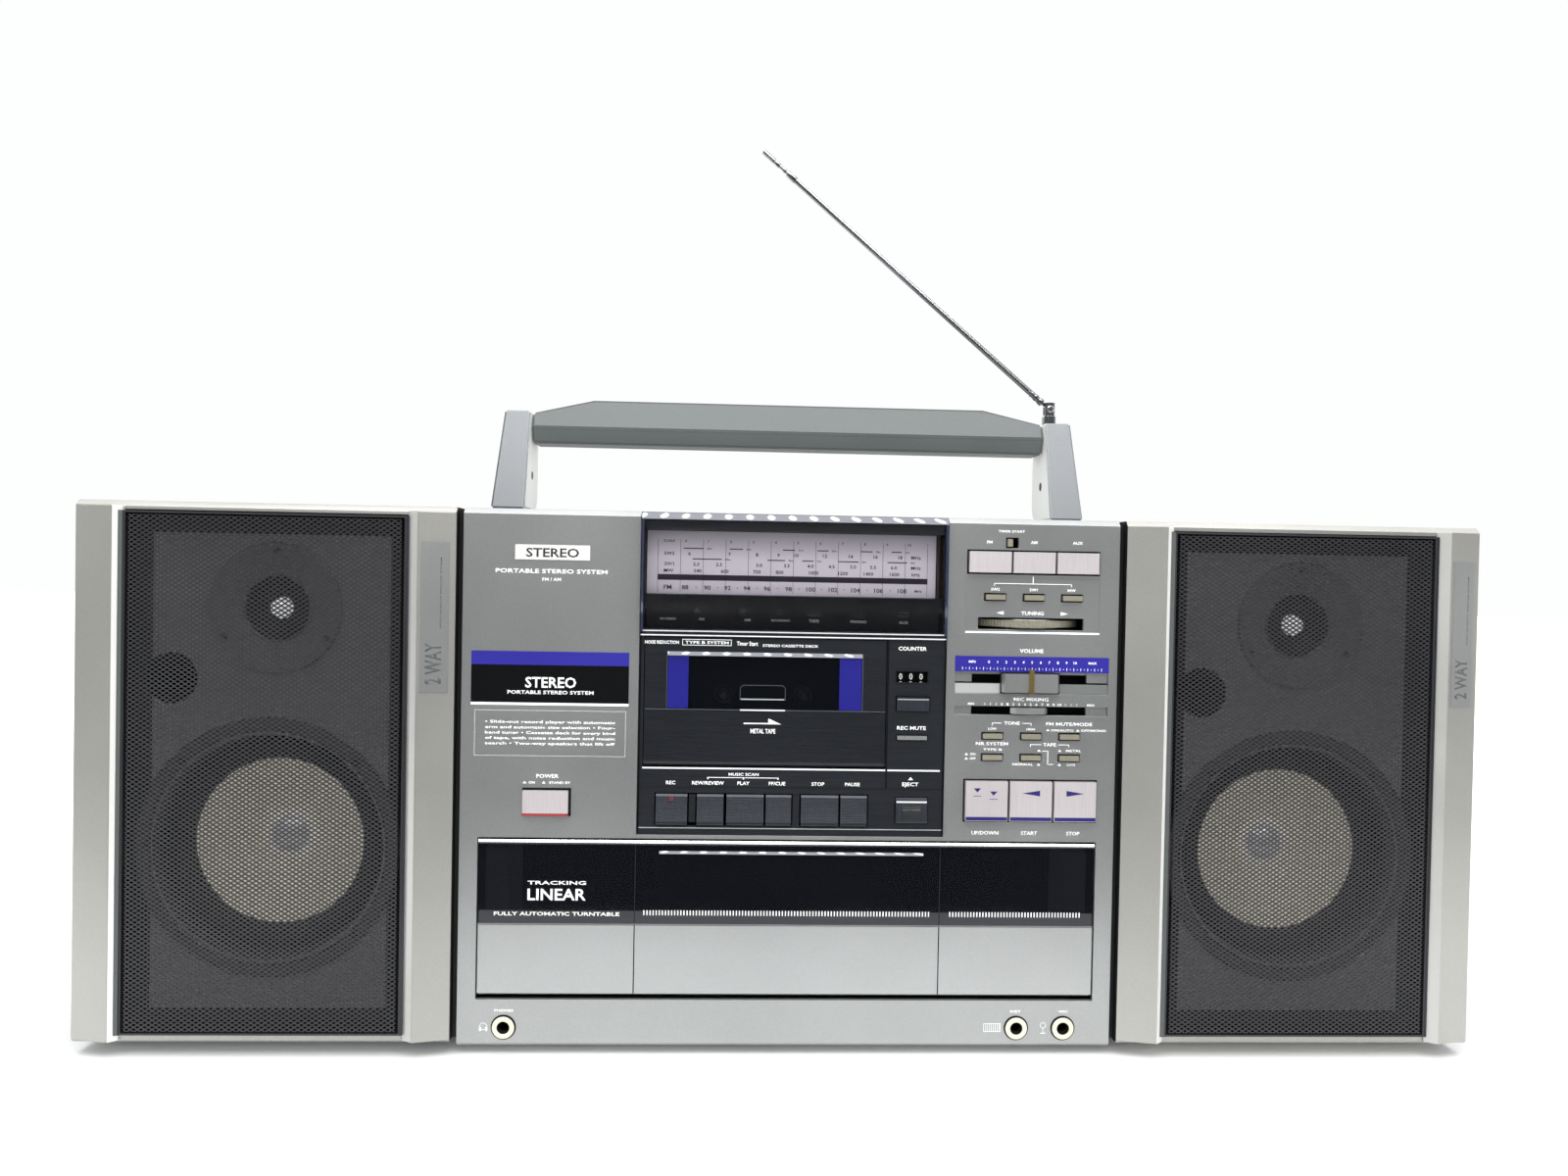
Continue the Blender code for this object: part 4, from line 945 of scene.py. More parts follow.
def dial_print():
    for k in range(13):
        x = -71.7 + k * 11.83
        stripe((x - 0.1, x + 0.1), (240.2, 268.2), "dark", depth=8.4)
    rows = (
        (267.3, 1.35, [("SCALE", -65.9)] + [(str(n), -57.2 + n * 11.77) for n in range(11)]),
        (260.7, 1.75, [("SW2", -65.8), ("6", -55.3), ("7", -34.3), ("8", -19.9), ("9", -8.6), ("10", 0.8),
         ("12", 15.9),
                      ("14", 29.5), ("16", 42.7), ("18", 55.8), ("MHz", 64.2)]),
        (255.2, 1.75, [("SW1", -65.8), ("2.3", -51.7), ("2.5", -39.7), ("3.0", -18.7), ("3.5", -4.2),
         ("4.0", 8.3),
                      ("4.5", 19.5), ("5.0", 30.9), ("5.5", 41.4), ("6.0", 52.5), ("MHz", 64.2)]),
        (251.7, 1.8, [("MW", -66.0), ("540", -50.9), ("600", -36.7), ("700", -19.9), ("800", -7.9), ("1000",
         10.1),
                      ("1200", 25.6), ("1400", 39.1), ("1600", 52.9), ("kHz", 64.2)]),
        (243.0, 2.3, [("FM", -66.4), ("88", -57.3), ("90", -45.6), ("92", -35.1), ("94", -24.9), ("96",
         -14.3),
                      ("98", -3.0), ("100", 8.7), ("102", 20.5), ("104", 32.4), ("106", 44.6), ("108",
                                                                                                57.0)]),
    )
    for z, tall, words in rows:
        for text, x in words:
            write(text, x, z, tall, **DIAL_INK)
    write("MHz", 65.6, 243.0, 1.3, **DIAL_INK)
    for x in (-51.5, -40.3, -30.0, -19.6, -8.7, 2.6, 14.4, 26.4, 38.5, 50.8):
        stripe((x - 0.25, x + 0.25), (242.8, 243.3), "dark", depth=8.4)
    stripe((-71.6, 70.5), (246.7, 249.7), "dark", depth=8.4)
    bars = ((263.4, ((-58.5, -47.9, "49m"), (-34.3, -27.3, "41m"), (-6.3, 0.1, "31m"), (12.0, 17.7, "25m"),
                     (34.9, 41.0, "19m"), (51.1, 56.5, "16m"))),
            (257.9, ((-53.6, -38.2, "120m"), (-14.4, -5.1, "90m"), (4.0, 9.9, "75m"), (22.9, 33.7, "60m"),
                     (49.1, 59.4, "49m"))))
    for z, row in bars:
        for left, right, text in row:
            stripe((left, right), (z - 0.28, z + 0.28), "dark", depth=8.4)
            write(text, right + 3.0, z, 0.95, **DIAL_INK)


def indicator_row():
    """The source names below the dial, with a small sign above each."""
    here = dict(depth=7.4)
    for text, x, tall in (("FM STEREO", -65.9, 1.1), ("FM", -48.2, 1.5), ("AM", -24.4, 1.5), ("RECORDING",
                          -7.0, 1.1),
                          ("TAPE", 10.7, 1.5), ("PHONO", 34.2, 1.5), ("AUX", 58.1, 1.5)):
        write(text, x, 226.4, tall, ink="grey", **here)
    for x in (-50.6, -26.8):
        outline_box((x - 1.6, x + 1.6), (229.8, 232.0), "shade", 0.2, depth=7.4)
        arrow(x, 231.2, 1.4, 1.2, "down", "shade", depth=0.2)
    circle(-7.1, 230.6, 1.2, "shade", **here)
    for x in (8.2, 13.0):
        circle(x, 230.6, 1.5, "shade", **here)
    stripe((8.2, 13.0), (229.1, 229.3), "shade", **here)
    circle(34.1, 230.6, 2.0, "shade", **here)
    outline_box((55.6, 60.6), (229.6, 231.6), "shade", 0.2, depth=7.4)


# ---------------------------------------------------------------- cassette deck


def ribbed_outline(front, back, low, high):
    """A (depth, z) outline whose front has shallow grooves across it."""
    points = [(back, low)]
    z = low
    while z + RIB < high:
        points += [(front, z), (front, z + RIB - 0.35), (front + 0.14, z + RIB - 0.3), (front + 0.14,
                   z + RIB - 0.08)]
        z += RIB
    points += [(front, z), (front, high), (back, high)]
    return points


def deck():
    shell("deck_panel", [BLACK, MATT_BLACK], 0.25,
          pick=lambda p, n: 1 if p[1] > 3.0 else 0)
    chrome = bmesh.new()
    for z in (220.5, 218.3):
        add_box(chrome, (-79.3, 79.3), (-0.9, 0.4), (z - 0.3, z + 0.3), 0.15)
    for x in ((-77.4, 48.9), (50.0, 77.6)):
        add_box(chrome, x, (-0.25, 0.4), (149.0, 149.8), 0.1)
    # These trim lines glow as painted light.
    finish_piece("deck_trim_lines", chrome, "centre_unit", TRIM_GLOWING)
    divider = bmesh.new()
    add_box(divider, (49.2, 49.7), (-0.02, 0.4), (139.8, 217.4))
    for x in ((-79.6, -78.9), (79.0, 79.6)):
        add_box(divider, x, (-0.3, 0.5), (COLUMN_LOW, 219.5), 0.15)
    finish_piece("deck_divider", divider, "centre_unit", GLOSS_BLACK)
    write("NOISE REDUCTION", -68.3, 214.6, 1.7, wide=17.5, depth=-0.3)
    outline_box((-57.8, -32.4), (213.1, 216.3), "white", 0.25, depth=0.1)
    write("TYPE B SYSTEM", -45.1, 214.7, 1.5, wide=22.5, depth=0.1)
    write("Timer Start", -24.2, 214.5, 2.2, wide=11.0, depth=0.1)
    write("STEREO CASSETTE DECK", -1.7, 213.6, 1.3, wide=29.0, depth=0.1)
    deck_words()
    cassette_door()
    mechanism()
    deck_keys()
    counter()


def deck_words():
    here = dict(depth=0.3)
    for text, x in (("REC", -62.6), ("REW/REVIEW", -43.3), ("PLAY", -24.9), ("FF/CUE", -7.4), ("STOP", 13.9),
                    ("PAUSE", 31.9)):
        write(text, x, 141.8, 1.8, **here)
    write("MUSIC SCAN", -24.9, 146.4, 1.5, wide=15.6, **here)
    stripe((-43.4, -7.0), (144.5, 144.8), **here)
    for x in (-43.4, -25.0, -7.0):
        stripe((x - 0.3, x + 0.3), (143.8, 144.8), **here)
    write("COUNTER", 62.1, 213.2, 2.0, wide=14.8, **here)
    write("REC MUTE", 62.3, 171.7, 1.9, wide=15.2, **here)
    write("EJECT", 62.3, 142.2, 1.9, wide=8.6, **here)
    arrow(62.4, 145.2, 2.6, 1.6, "up", **here)


def cassette_door():
    """A ribbed door round a smoked window, with a clear bevel along the window's top."""
    x, _, z = spans("cassette_door")
    front, back = 0.8, 6.8
    win_x, win_z = (-65.4, 36.2), (180.0, 209.2)
    bm = bmesh.new()
    add_prism(bm, "X", ribbed_outline(front, back, z[0] + 3.0, win_z[0]), (x[0] + 1.6, x[1] - 1.6))
    for side in ((x[0] + 1.6, win_x[0]), (win_x[1], x[1] - 1.6)):
        add_prism(bm, "X", ribbed_outline(front, back, *win_z), side)
    add_box(bm, (x[0] + 1.6, x[1] - 1.6), (front, back), (win_z[1], z[1]), 0.0)
    foot = [(front, z[0] + 3.0), (back, z[0] + 3.0)]
    for k in range(7):
        angle = math.pi * k / 6
        foot.append((3.8 + 3.0 * math.cos(angle), z[0] + 3.0 - 3.0 * math.sin(angle)))
    add_prism(bm, "X", foot, (x[0] + 1.6, x[1] - 1.6))
    for wall, lip in (((-69.2, -67.2), (-69.2, -64.8)), ((37.5, 39.5), (35.1, 39.5))):
        add_box(bm, wall, (back - 0.5, 20.5), (154, 190), 0.3)
        add_box(bm, lip, (19.3, 20.5), (154, 190), 0.3)
    add_bar(bm, (0, 3.8, 152.8), 1.35, (x[0], x[1]), "X", 16)
    finish_piece("door_shell", bm, "cassette_door", BLACK, ("cassette_door",))
    pane = bmesh.new()
    add_box(pane, win_x, (1.0, 2.6), win_z, 0.2)
    finish_piece("door_pane", pane, "cassette_door", SMOKED_DARK)
    trim = bmesh.new()
    add_prism(trim, "X", [(0.9, 207.8)] + arc_bevel(-0.5, 207.8, 209.8, 28.7) + [(0.9, 209.8)],
              (win_x[0] + 0.2, win_x[1] - 0.2))
    add_box(trim, (x[0] + 1.8, x[1] - 1.8), (0.55, 0.9), (win_z[0] - 0.35, win_z[0]), 0.08, 1)
    for side in (win_x[0] - 0.25, win_x[1]):
        add_box(trim, (side, side + 0.25), (0.5, 0.9), win_z, 0.05, 1)
    # A light line at the foot of the notch, glowing as painted light.
    add_box(trim, (-27.4, -4.0), (0.2, 0.9), (win_z[0] - 0.5, win_z[0] + 0.2), 0.15, 2)
    finish_piece("door_window_trim", trim, "cassette_door", [LENS_BEVEL, SHADE_GREY, TRIM_GLOWING])
    blue = bmesh.new()
    for a, b in ((win_x[0] + 0.3, -54.4), (24.1, win_x[1] - 0.3)):
        add_box(blue, (a, b), (0.9, 1.05), (win_z[0] + 0.3, win_z[1] - 1.0), 0.03)
    finish_piece("door_blue_ends", blue, "cassette_door", DOOR_BLUE)
    notch = bmesh.new()
    outline = [(-27.6, 185.2), (-3.9, 185.2), (-3.9, 191.4), (-5.4, 192.9), (-26.1, 192.9), (-27.6, 191.4)]
    inner = [(-27.35, 185.8), (-4.15, 185.8), (-4.15, 191.3), (-5.5, 192.65), (-26.0, 192.65), (-27.35,
             191.3)]
    add_frame(notch, outline, inner, (0.55, 1.05), 0)
    finish_piece("door_window_notch", notch, "cassette_door", SHADE_GREY)
    stripe((-27.0, -4.6), (185.2, 185.8), "grey", "cassette_door", 0.55)
    body = dict(body="cassette_door", depth=0.8)
    printed([(-25.4, 173.2), (-12.6, 173.2), (-12.6, 175.6), (-5.9, 172.6), (-25.4, 172.6)], **body)
    write("METAL TAPE", -15.3, 169.0, 2.4, wide=13.0, **body)


def mechanism():
    """The chassis in the cassette well, and the two drive spindles with their splines."""
    shell("tape_mechanism", [MATT_BLACK, SATIN_STEEL], 0.3, pick=lambda p, n: 1 if p[1] < 20 else 0)
    for node in ("spindle_left", "spindle_right"):
        x, _, z = spans(node)
        cx, cz = (x[0] + x[1]) / 2, (z[0] + z[1]) / 2
        bm = bmesh.new()
        add_turned(bm, "Y", (cx, 0, cz), [(0, 10.5), (1.6, 10.5), (2.2, 11.2), (2.6, 13.0), (2.6, 26.0),
                   (9.5, 26.0),
                                          (9.5, 28.5), (0, 28.5)], 24)
        for k in range(6):
            angle = math.pi * k / 3
            dx, dz = math.cos(angle), math.sin(angle)
            side = Vector((-dz, dx)) * 0.45
            outline = [(cx + dx * r + side.x * s, cz + dz * r + side.y * s) for r, s in ((2.0, 1), (3.2,
                       0.8), (3.2, -0.8), (2.0, -1))]
            add_prism(bm, "Y", outline, (12.6, 20.0), 0.1)
        add_ring(bm, (cx, 0, cz), [(4.0, 21.2), (4.9, 21.0), (5.2, 21.6), (5.2, 22.3), (4.0, 22.3)], 32)
        finish_piece(f"{node}_hub", bm, node, SHADE_GREY, (node,))


def deck_keys():
    """Piano keys: a finely ribbed face that leans forward at its foot, with a lip that catches the light."""
    for node in ("key_record", "key_rewind", "key_play", "key_forward", "key_stop", "key_pause"):
        x, depth, z = spans(node)
        bm = bmesh.new()
        front = depth[0]
        outline = [(depth[1], z[0]), (front + 0.9, z[0]), (front, z[0] + 0.9), (front, z[0] + 1.5)]
        steps = 12
        rise = (z[1] - 0.8 - z[0] - 1.5) / steps
        for k in range(steps):
            low = z[0] + 1.5 + k * rise
            lean = 0.9 * (k / steps) ** 1.5
            outline += [(front + lean, low + 0.08), (front + lean, low + rise * 0.7), (front + lean + 0.12,
                        low + rise * 0.8)]
        outline += [(front + 1.0, z[1] - 0.7), (front + 1.8, z[1]), (depth[1], z[1])]
        add_prism(bm, "X", outline, (x[0] + 0.15, x[1] - 0.15))
        add_box(bm, (x[0] + 0.4, x[1] - 0.4), (front, front + 0.6), (z[0] + 0.75, z[0] + 1.15), 0.1, 1)
        finish_piece(f"{node}_cap", bm, node, [KEY_BLACK, SATIN_STEEL], (node,))
    x, depth, z = spans("key_record")
    add_ring(sheet_for("key_record", "red"), ((x[0] + x[1]) / 2, depth[0] + 0.4, z[1] - 2.3),
             ring_profile(0.55, 0.95, 0.0, 0.8), 20)
    x, depth, z = spans("key_eject")
    bm = bmesh.new()
    front = depth[0]
    outline = [(depth[1], z[0]), (front + 0.8, z[0]), (front, z[0] + 1.0), (front + 0.5, z[1] - 2.0),
               (front + 1.6, z[1]), (depth[1], z[1])]
    add_prism(bm, "X", outline, x, 0.2)
    # A light line across the eject key's top: painted highlight, glowing.
    add_box(bm, (x[0] + 0.3, x[1] - 0.3), (front + 0.35, front + 1.0), (z[1] - 2.4, z[1] - 1.6), 0.2, 1)
    add_prism(bm, "X", [(front + 0.35, z[0] + 2.2)] + arc_bevel(front + 0.06, z[0] + 2.2, z[1] - 4.2, 3.0,
              9.0) + [(front + 0.9, z[1] - 4.2)],
              (x[0] + 3.5, x[1] - 3.5), 0, 2)
    finish_piece("key_eject_cap", bm, "key_eject", [KEY_BLACK, TRIM_GLOWING, CHROME], ("key_eject",))
    well = bmesh.new()
    add_box(well, (-79.2, 79.2), (0.05, 0.35), (139.3, 139.75), 0.05)
    left, right = spans("key_record")[0][1], spans("key_rewind")[0][0]
    add_box(well, (left + 0.7, right - 0.7), (0.3, 2.0), (z[0] - 0.6, z[1] + 0.6), 0.1, 2)
    # A light grey line along the foot of the key row: painted highlight.
    add_box(well, (-79.2, 79.2), (-0.1, 0.35), (118.1, 118.5), 0.1, 1)
    finish_piece("key_row_edges", well, "centre_unit", [MATT_BLACK, LEDGE_AND_HIGHLIGHT, BLACK])


def counter():
    """The three-figure counter drum in its window, its reset button and the record mute button."""
    x, depth, z = spans("counter_drum")
    middle = ((depth[0] + depth[1]) / 2, (z[0] + z[1]) / 2)
    radius = (z[1] - z[0]) / 2
    bm = bmesh.new()
    wheel = (x[1] - x[0]) / 3
    for k in range(3):
        left = x[0] + k * wheel
        add_bar(bm, (0, *middle), radius - 0.15, (left + 0.12, left + wheel - 0.12), "X", 60, 0, 0.2)
    add_bar(bm, (0, *middle), radius - 1.5, x, "X", 32, 0)
    finish_piece("counter_wheels", bm, "counter_drum", MATT_BLACK, ("counter_drum",))
    for k in range(3):
        centre = x[0] + (k + 0.5) * wheel
        for digit in range(10):
            drum_digit(str(digit), centre, middle, radius - 0.15, 2 * math.pi * digit / 10)
    frame_bm = bmesh.new()
    add_frame(frame_bm, [(53.0, 194.8), (71.0, 194.8), (71.0, 201.8), (53.0, 201.8)],
              [(53.8, 195.4), (70.4, 195.4), (70.4, 201.2), (53.8, 201.2)], (0.0, 3.2))
    finish_piece("counter_window_frame", frame_bm, "centre_unit", MATT_BLACK)
    x, depth, z = spans("counter_reset_button")
    bm = bmesh.new()
    add_box(bm, x, depth, z, 0.5)
    # A light line near the reset button's top: painted highlight.
    add_box(bm, (x[0] + 0.4, x[1] - 0.4), (depth[0] - 0.1, depth[0] + 0.5), (z[1] - 1.3, z[1] - 0.8), 0.1, 1)
    finish_piece("counter_reset_cap", bm, "counter_reset_button", [KEY_BLACK, LEDGE_AND_HIGHLIGHT],
                 ("counter_reset_button",))
    plain_button("record_mute_button", SILVER_LIGHT, 0.5)


def drum_digit(text, x, middle, radius, angle):
    """A figure wrapped on the counter drum, in white."""
    bm, centre, _ = letter_solid(text)
    up = 3.3 / CAP
    for v in bm.verts:
        flat = ((v.co.x - centre) * up * 0.8, (v.co.y - CAP / 2) * up)
        turn = angle + flat[1] / radius
        reach = radius + 0.04 * v.co.z - 0.01
        v.co = at(x + flat[0], middle[0] - reach * math.cos(turn), middle[1] + reach * math.sin(turn))
    add_to_sheet(bm, "counter_drum", "white")


# ---------------------------------------------------------------- record drawer


def drawer():
    x, depth, z = spans("drawer_tray")
    seams = [boxes(((s - 0.25, s + 0.25), (depth[0] - 1, depth[0] + 0.6), (z[0] - 1,
             67.5))) for s in DRAWER_SEAMS]
    seams.append(boxes(((x[0] - 1, x[1] + 1), (depth[0] - 1, depth[0] + 3.0), (z[0] - 1, z[0] + 1.5))))

    def sort(p, n):
        """Black behind the front and inside the two seams."""
        in_seam = abs(abs(p[0]) - 79.6) < 0.9 and 1.1 < p[1] < 2 and p[2] < 67
        return 1 if p[1] > 4.2 or (in_seam and abs(n.x) + abs(n.y) > 0.5) else 0

    shell("drawer_tray", [SILVER_LIGHT, MATT_BLACK], 0.5, carve=seams, pick=sort)
    x, depth, z = spans("drawer_window")
    pane = bmesh.new()
    add_box(pane, x, depth, (z[0], z[1] - 2.2), 0.3)
    finish_piece("drawer_pane", pane, "drawer", SMOKED, ("drawer_window",))
    trim = bmesh.new()
    front = depth[0]
    bar = [(front - 1.0, z[1] - 2.2)] + arc_bevel(front - 1.0, z[1] - 1.3, z[1], 35.0)
    add_prism(trim, "X", [(depth[1], z[1] - 2.2)] + bar + [(depth[1], z[1])], x)
    add_box(trim, (x[0], x[1]), (front - 0.12, front + 0.3), (z[0] - 0.1, z[0] + 0.5), 0.1, 1)
    # The grey strip at the window's foot: painted light.
    add_box(trim, (x[0] + 0.6, x[1] - 0.6), (front - 0.02, front + 0.1), (z[0] + 0.6, z[0] + 7.2), 0, 4)
    lip = arc_bevel(front - 0.9, 104.6, 106.2, 35.4)
    add_prism(trim, "X", [(front + 0.2, 104.6)] + lip + [(front + 0.2, 106.2)], (-68.0, 70.0), 0, 2)
    for s in DRAWER_SEAMS:
        add_box(trim, (s - 0.2, s + 0.2), (front - 0.1, front + 0.2), (z[0] + 0.6, z[1] - 2.3), 0, 3)
    finish_piece("drawer_trim", trim, "drawer", [CHROME, SATIN_STEEL, LENS_BEVEL, MATT_BLACK, WINDOW_FOOT_PAINTED_LIGHT])
    here = dict(body="drawer", depth=depth[0])
    write("LINEAR", -120.4, 83.0, 6.0, wide=30.0, **here)
    write("TRACKING", -120.4, 89.0, 1.9, wide=30.0, **here)
    write("FULLY AUTOMATIC TURNTABLE", -120.2, 72.9, 1.9, wide=64.5, **here)
    ticks = sheet_for("drawer", "white")
    for left, right in ((-75.6, 76.0), (84.4, 155.6)):
        count = int((right - left) / TICK_PITCH)
        for k in range(count):
            a = left + k * TICK_PITCH
            add_box(ticks, (a, a + 0.5), (depth[0] - INK_RISE, depth[0] + INK_SUNK), (72.4, 75.0))
    inside = bmesh.new()
    for side in (1, -1):
        add_prism(inside, "Z", [(side * 157.6, 4.5), (side * 146.0, 4.5), (side * 140.0, 13.0),
                  (side * 157.6, 13.0)], (68.0, 106.0), 0.2, 0)
    add_box(inside, (-139.5, 139.5), (12.6, 13.4), (68.0, 106.0), 0.2, 1)
    finish_piece("drawer_window_backing", inside, "drawer", [WEDGE_GLOWING, GLOSS_BLACK])
    platter()
    arm()


def platter():
    low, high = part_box("platter")
    middle = (0, ((low.y + high.y) / 2 - FRONT_M) / MM, 0)
    bm = bmesh.new()
    add_turned(bm, "Z", middle, [(0, 40.0), (20, 40.0), (22, 42.0), (74.4, 42.0), (75.0, 42.6), (75.0,
               44.6), (74.4, 45.2),
                                 (72.6, 45.4), (0, 45.4)], 96, 0)
    profile = [(3.6, 45.4)]
    for k in range(14):
        r = 6.0 + k * 4.6
        profile += [(r, 45.5), (r + 0.6, 45.95), (r + 3.0, 45.95), (r + 3.6, 45.5)]
    profile += [(72.2, 45.5), (72.2, 45.2), (3.6, 45.2)]
    add_ring(bm, middle, profile, 96, 1, True)
    add_turned(bm, "Z", middle, [(0, 44.0), (3.5, 44.0), (3.5, 55.6), (3.1, 57.2), (1.6, 58.0), (0, 58.0)],
               32, 2)
    finish_piece("platter_disc", bm, "platter", [SATIN_STEEL, RUBBER, CHROME], ("platter",))


def arm():
    shell("tonearm_carriage", [DARK_GREY, BLACK], 0.4, pick=lambda p, n: 1 if p[2] < 58 else 0)


# ---------------------------------------------------------------- handle and antenna

def handle():
    for node in ("handle_arm_left", "handle_arm_right"):
        # The legs' sideways faces take the lighter, glowing copy: painted light.
        shell(node, [LEG_PAINT, LEG_SIDE_PAINTED_LIGHT], 1.2, pick=lambda p, n: 1 if abs(n.x) > 0.85 else 0)
    # Faces that look down take the darker groove grey and faces that slope up a darker copy of the grip grey:
    # painted shade.
    shell("handle_grip", [DARK_GREY, SHADE_GREY, GRIP_SLOPE_SHADE], 1.2,
          pick=lambda p, n: 1 if n.z < -0.5 else 2 if n.z > 0.25 else 0)
    bits = bmesh.new()
    for side in (1, -1):
        inner = side * 153.2
        for z, radius in ((306.5, 2.6), (334.0, 2.2)):
            reach = (inner + side * 0.2, inner - side * 0.05)
            add_bar(bits, (0, 95.0 if z < 320 else 104.0, z), radius, sorted(reach), "X", 20, 0)
    finish_piece("handle_screw_holes", bits, "handle", MATT_BLACK)
    caps = bmesh.new()
    for side in (1, -1):
        node = "handle_arm_right" if side > 0 else "handle_arm_left"
        outer = max(abs(v) for v in spans(node)[0])
        a, b = side * (outer - 2.6), side * outer
        add_turned(caps, "X", (0, 101.5, 297.5), [(0, a), (3.4, a), (3.4, b - side * 0.6), (2.6, b), (0,
                   b)], 24)
    finish_piece("handle_pivot_caps", caps, "handle", SATIN_STEEL)


def add_collar(bm, pivot, along, inner, outer, a, b):
    """A collar round the antenna between two distances from its pivot."""
    soft = outer - 0.1
    section = ((inner, a), (soft, a), (outer, a + 0.2), (outer, b - 0.2), (soft, b), (inner, b))
    add_turned(bm, along, pivot, section, 20, 0, True)


def antenna():
    for node in ("antenna_base", "antenna_tube", "antenna_rod"):
        NODES[node].data.materials.clear()
        NODES[node].data.materials.append(ANTENNA_METAL)
    x, depth, z = 160.5, 106.0, 355.0
    rise = math.radians(40.4)
    along = Vector((-math.cos(rise), 0, math.sin(rise)))
    bm = bmesh.new()
    for a, b, radius in ((6.0, 9.0, 2.35), (10.5, 12.5, 2.25), (14.0, 15.2, 2.15), (209.0, 215.5, 2.2)):
        add_collar(bm, (x, depth, z), along, 1.96, radius, a, b)
    finish_piece("antenna_collars", bm, "antenna_tube", ANTENNA_METAL)
    bm = bmesh.new()
    for a, b, radius in ((217.0, 219.0, 1.45), (222.0, 226.0, 1.5)):
        add_collar(bm, (x, depth, z), along, 1.16, radius, a, b)
    finish_piece("antenna_rod_collars", bm, "antenna_rod", ANTENNA_METAL)
    bm = bmesh.new()
    add_turned(bm, "Y", (x, depth, z), [(0, -4.3), (1.5, -4.3), (2.2, -3.7), (2.2, -3.0), (0, -3.0)], 20)
    add_turned(bm, "Y", (x, depth, z), [(0, 3.0), (2.2, 3.0), (2.2, 3.7), (1.5, 4.3), (0, 4.3)], 20)
    finish_piece("antenna_screw", bm, "antenna_base", CHROME)


# ---------------------------------------------------------------- speakers


def expanded_mesh(bm, x, z, depth):
    """A sheet of expanded metal: staggered diamond openings between slanting strands."""
    columns = int((x[1] - x[0]) / (MESH_X / 2))
    rows = int((z[1] - z[0]) / (MESH_Z / 2))
    step_x = (x[1] - x[0]) / columns
    step_z = (z[1] - z[0]) / rows
    corners = {}

    def corner(kind, i, j):
        """A corner of the opening in column i and row j: its left, right, low or high tip."""
        key = (kind, i, j)
        if key not in corners:
            shift = {"l": (-HOLE_X, 0), "r": (HOLE_X, 0), "b": (0, -HOLE_Z), "t": (0, HOLE_Z)}[kind]
            px = min(max(x[0] + i * step_x + shift[0], x[0]), x[1])
            pz = min(max(z[0] + j * step_z + shift[1], z[0]), z[1])
            lean = {"b": -MESH_LEAN, "t": MESH_LEAN}.get(kind, 0.0)
            corners[key] = (bm.verts.new(at(px, depth + lean, pz)), bm.verts.new(at(px,
                            depth + lean + MESH_THICK, pz)))
        return corners[key]

    def slab(points):
        front = [p[0] for p in points]
        back = [p[1] for p in points]
        bm.faces.new(front)
        bm.faces.new(list(reversed(back)))

    def wall(a, b):
        bm.faces.new((a[0], b[0], b[1], a[1]))

    for i in range(1, columns):
        for j in range(1, rows):
            if (i + j) % 2:
                continue
            l, r, b, t = (corner(k, i, j) for k in "lrbt")
            for a, c in ((l, b), (b, r), (r, t), (t, l)):
                wall(a, c)
            if i + 1 < columns and j + 1 < rows:
                l2, b2 = corner("l", i + 1, j + 1), corner("b", i + 1, j + 1)
                slab((r, b2, l2, t))
            if i + 1 < columns and j - 1 > 0:
                l2, t2 = corner("l", i + 1, j - 1), corner("t", i + 1, j - 1)
                slab((r, b, l2, t2))
            if i + 2 < columns and j + 1 < rows and j - 1 > 0:
                slab((r, corner("t", i + 1, j - 1), corner("l", i + 2, j), corner("b", i + 1, j + 1)))


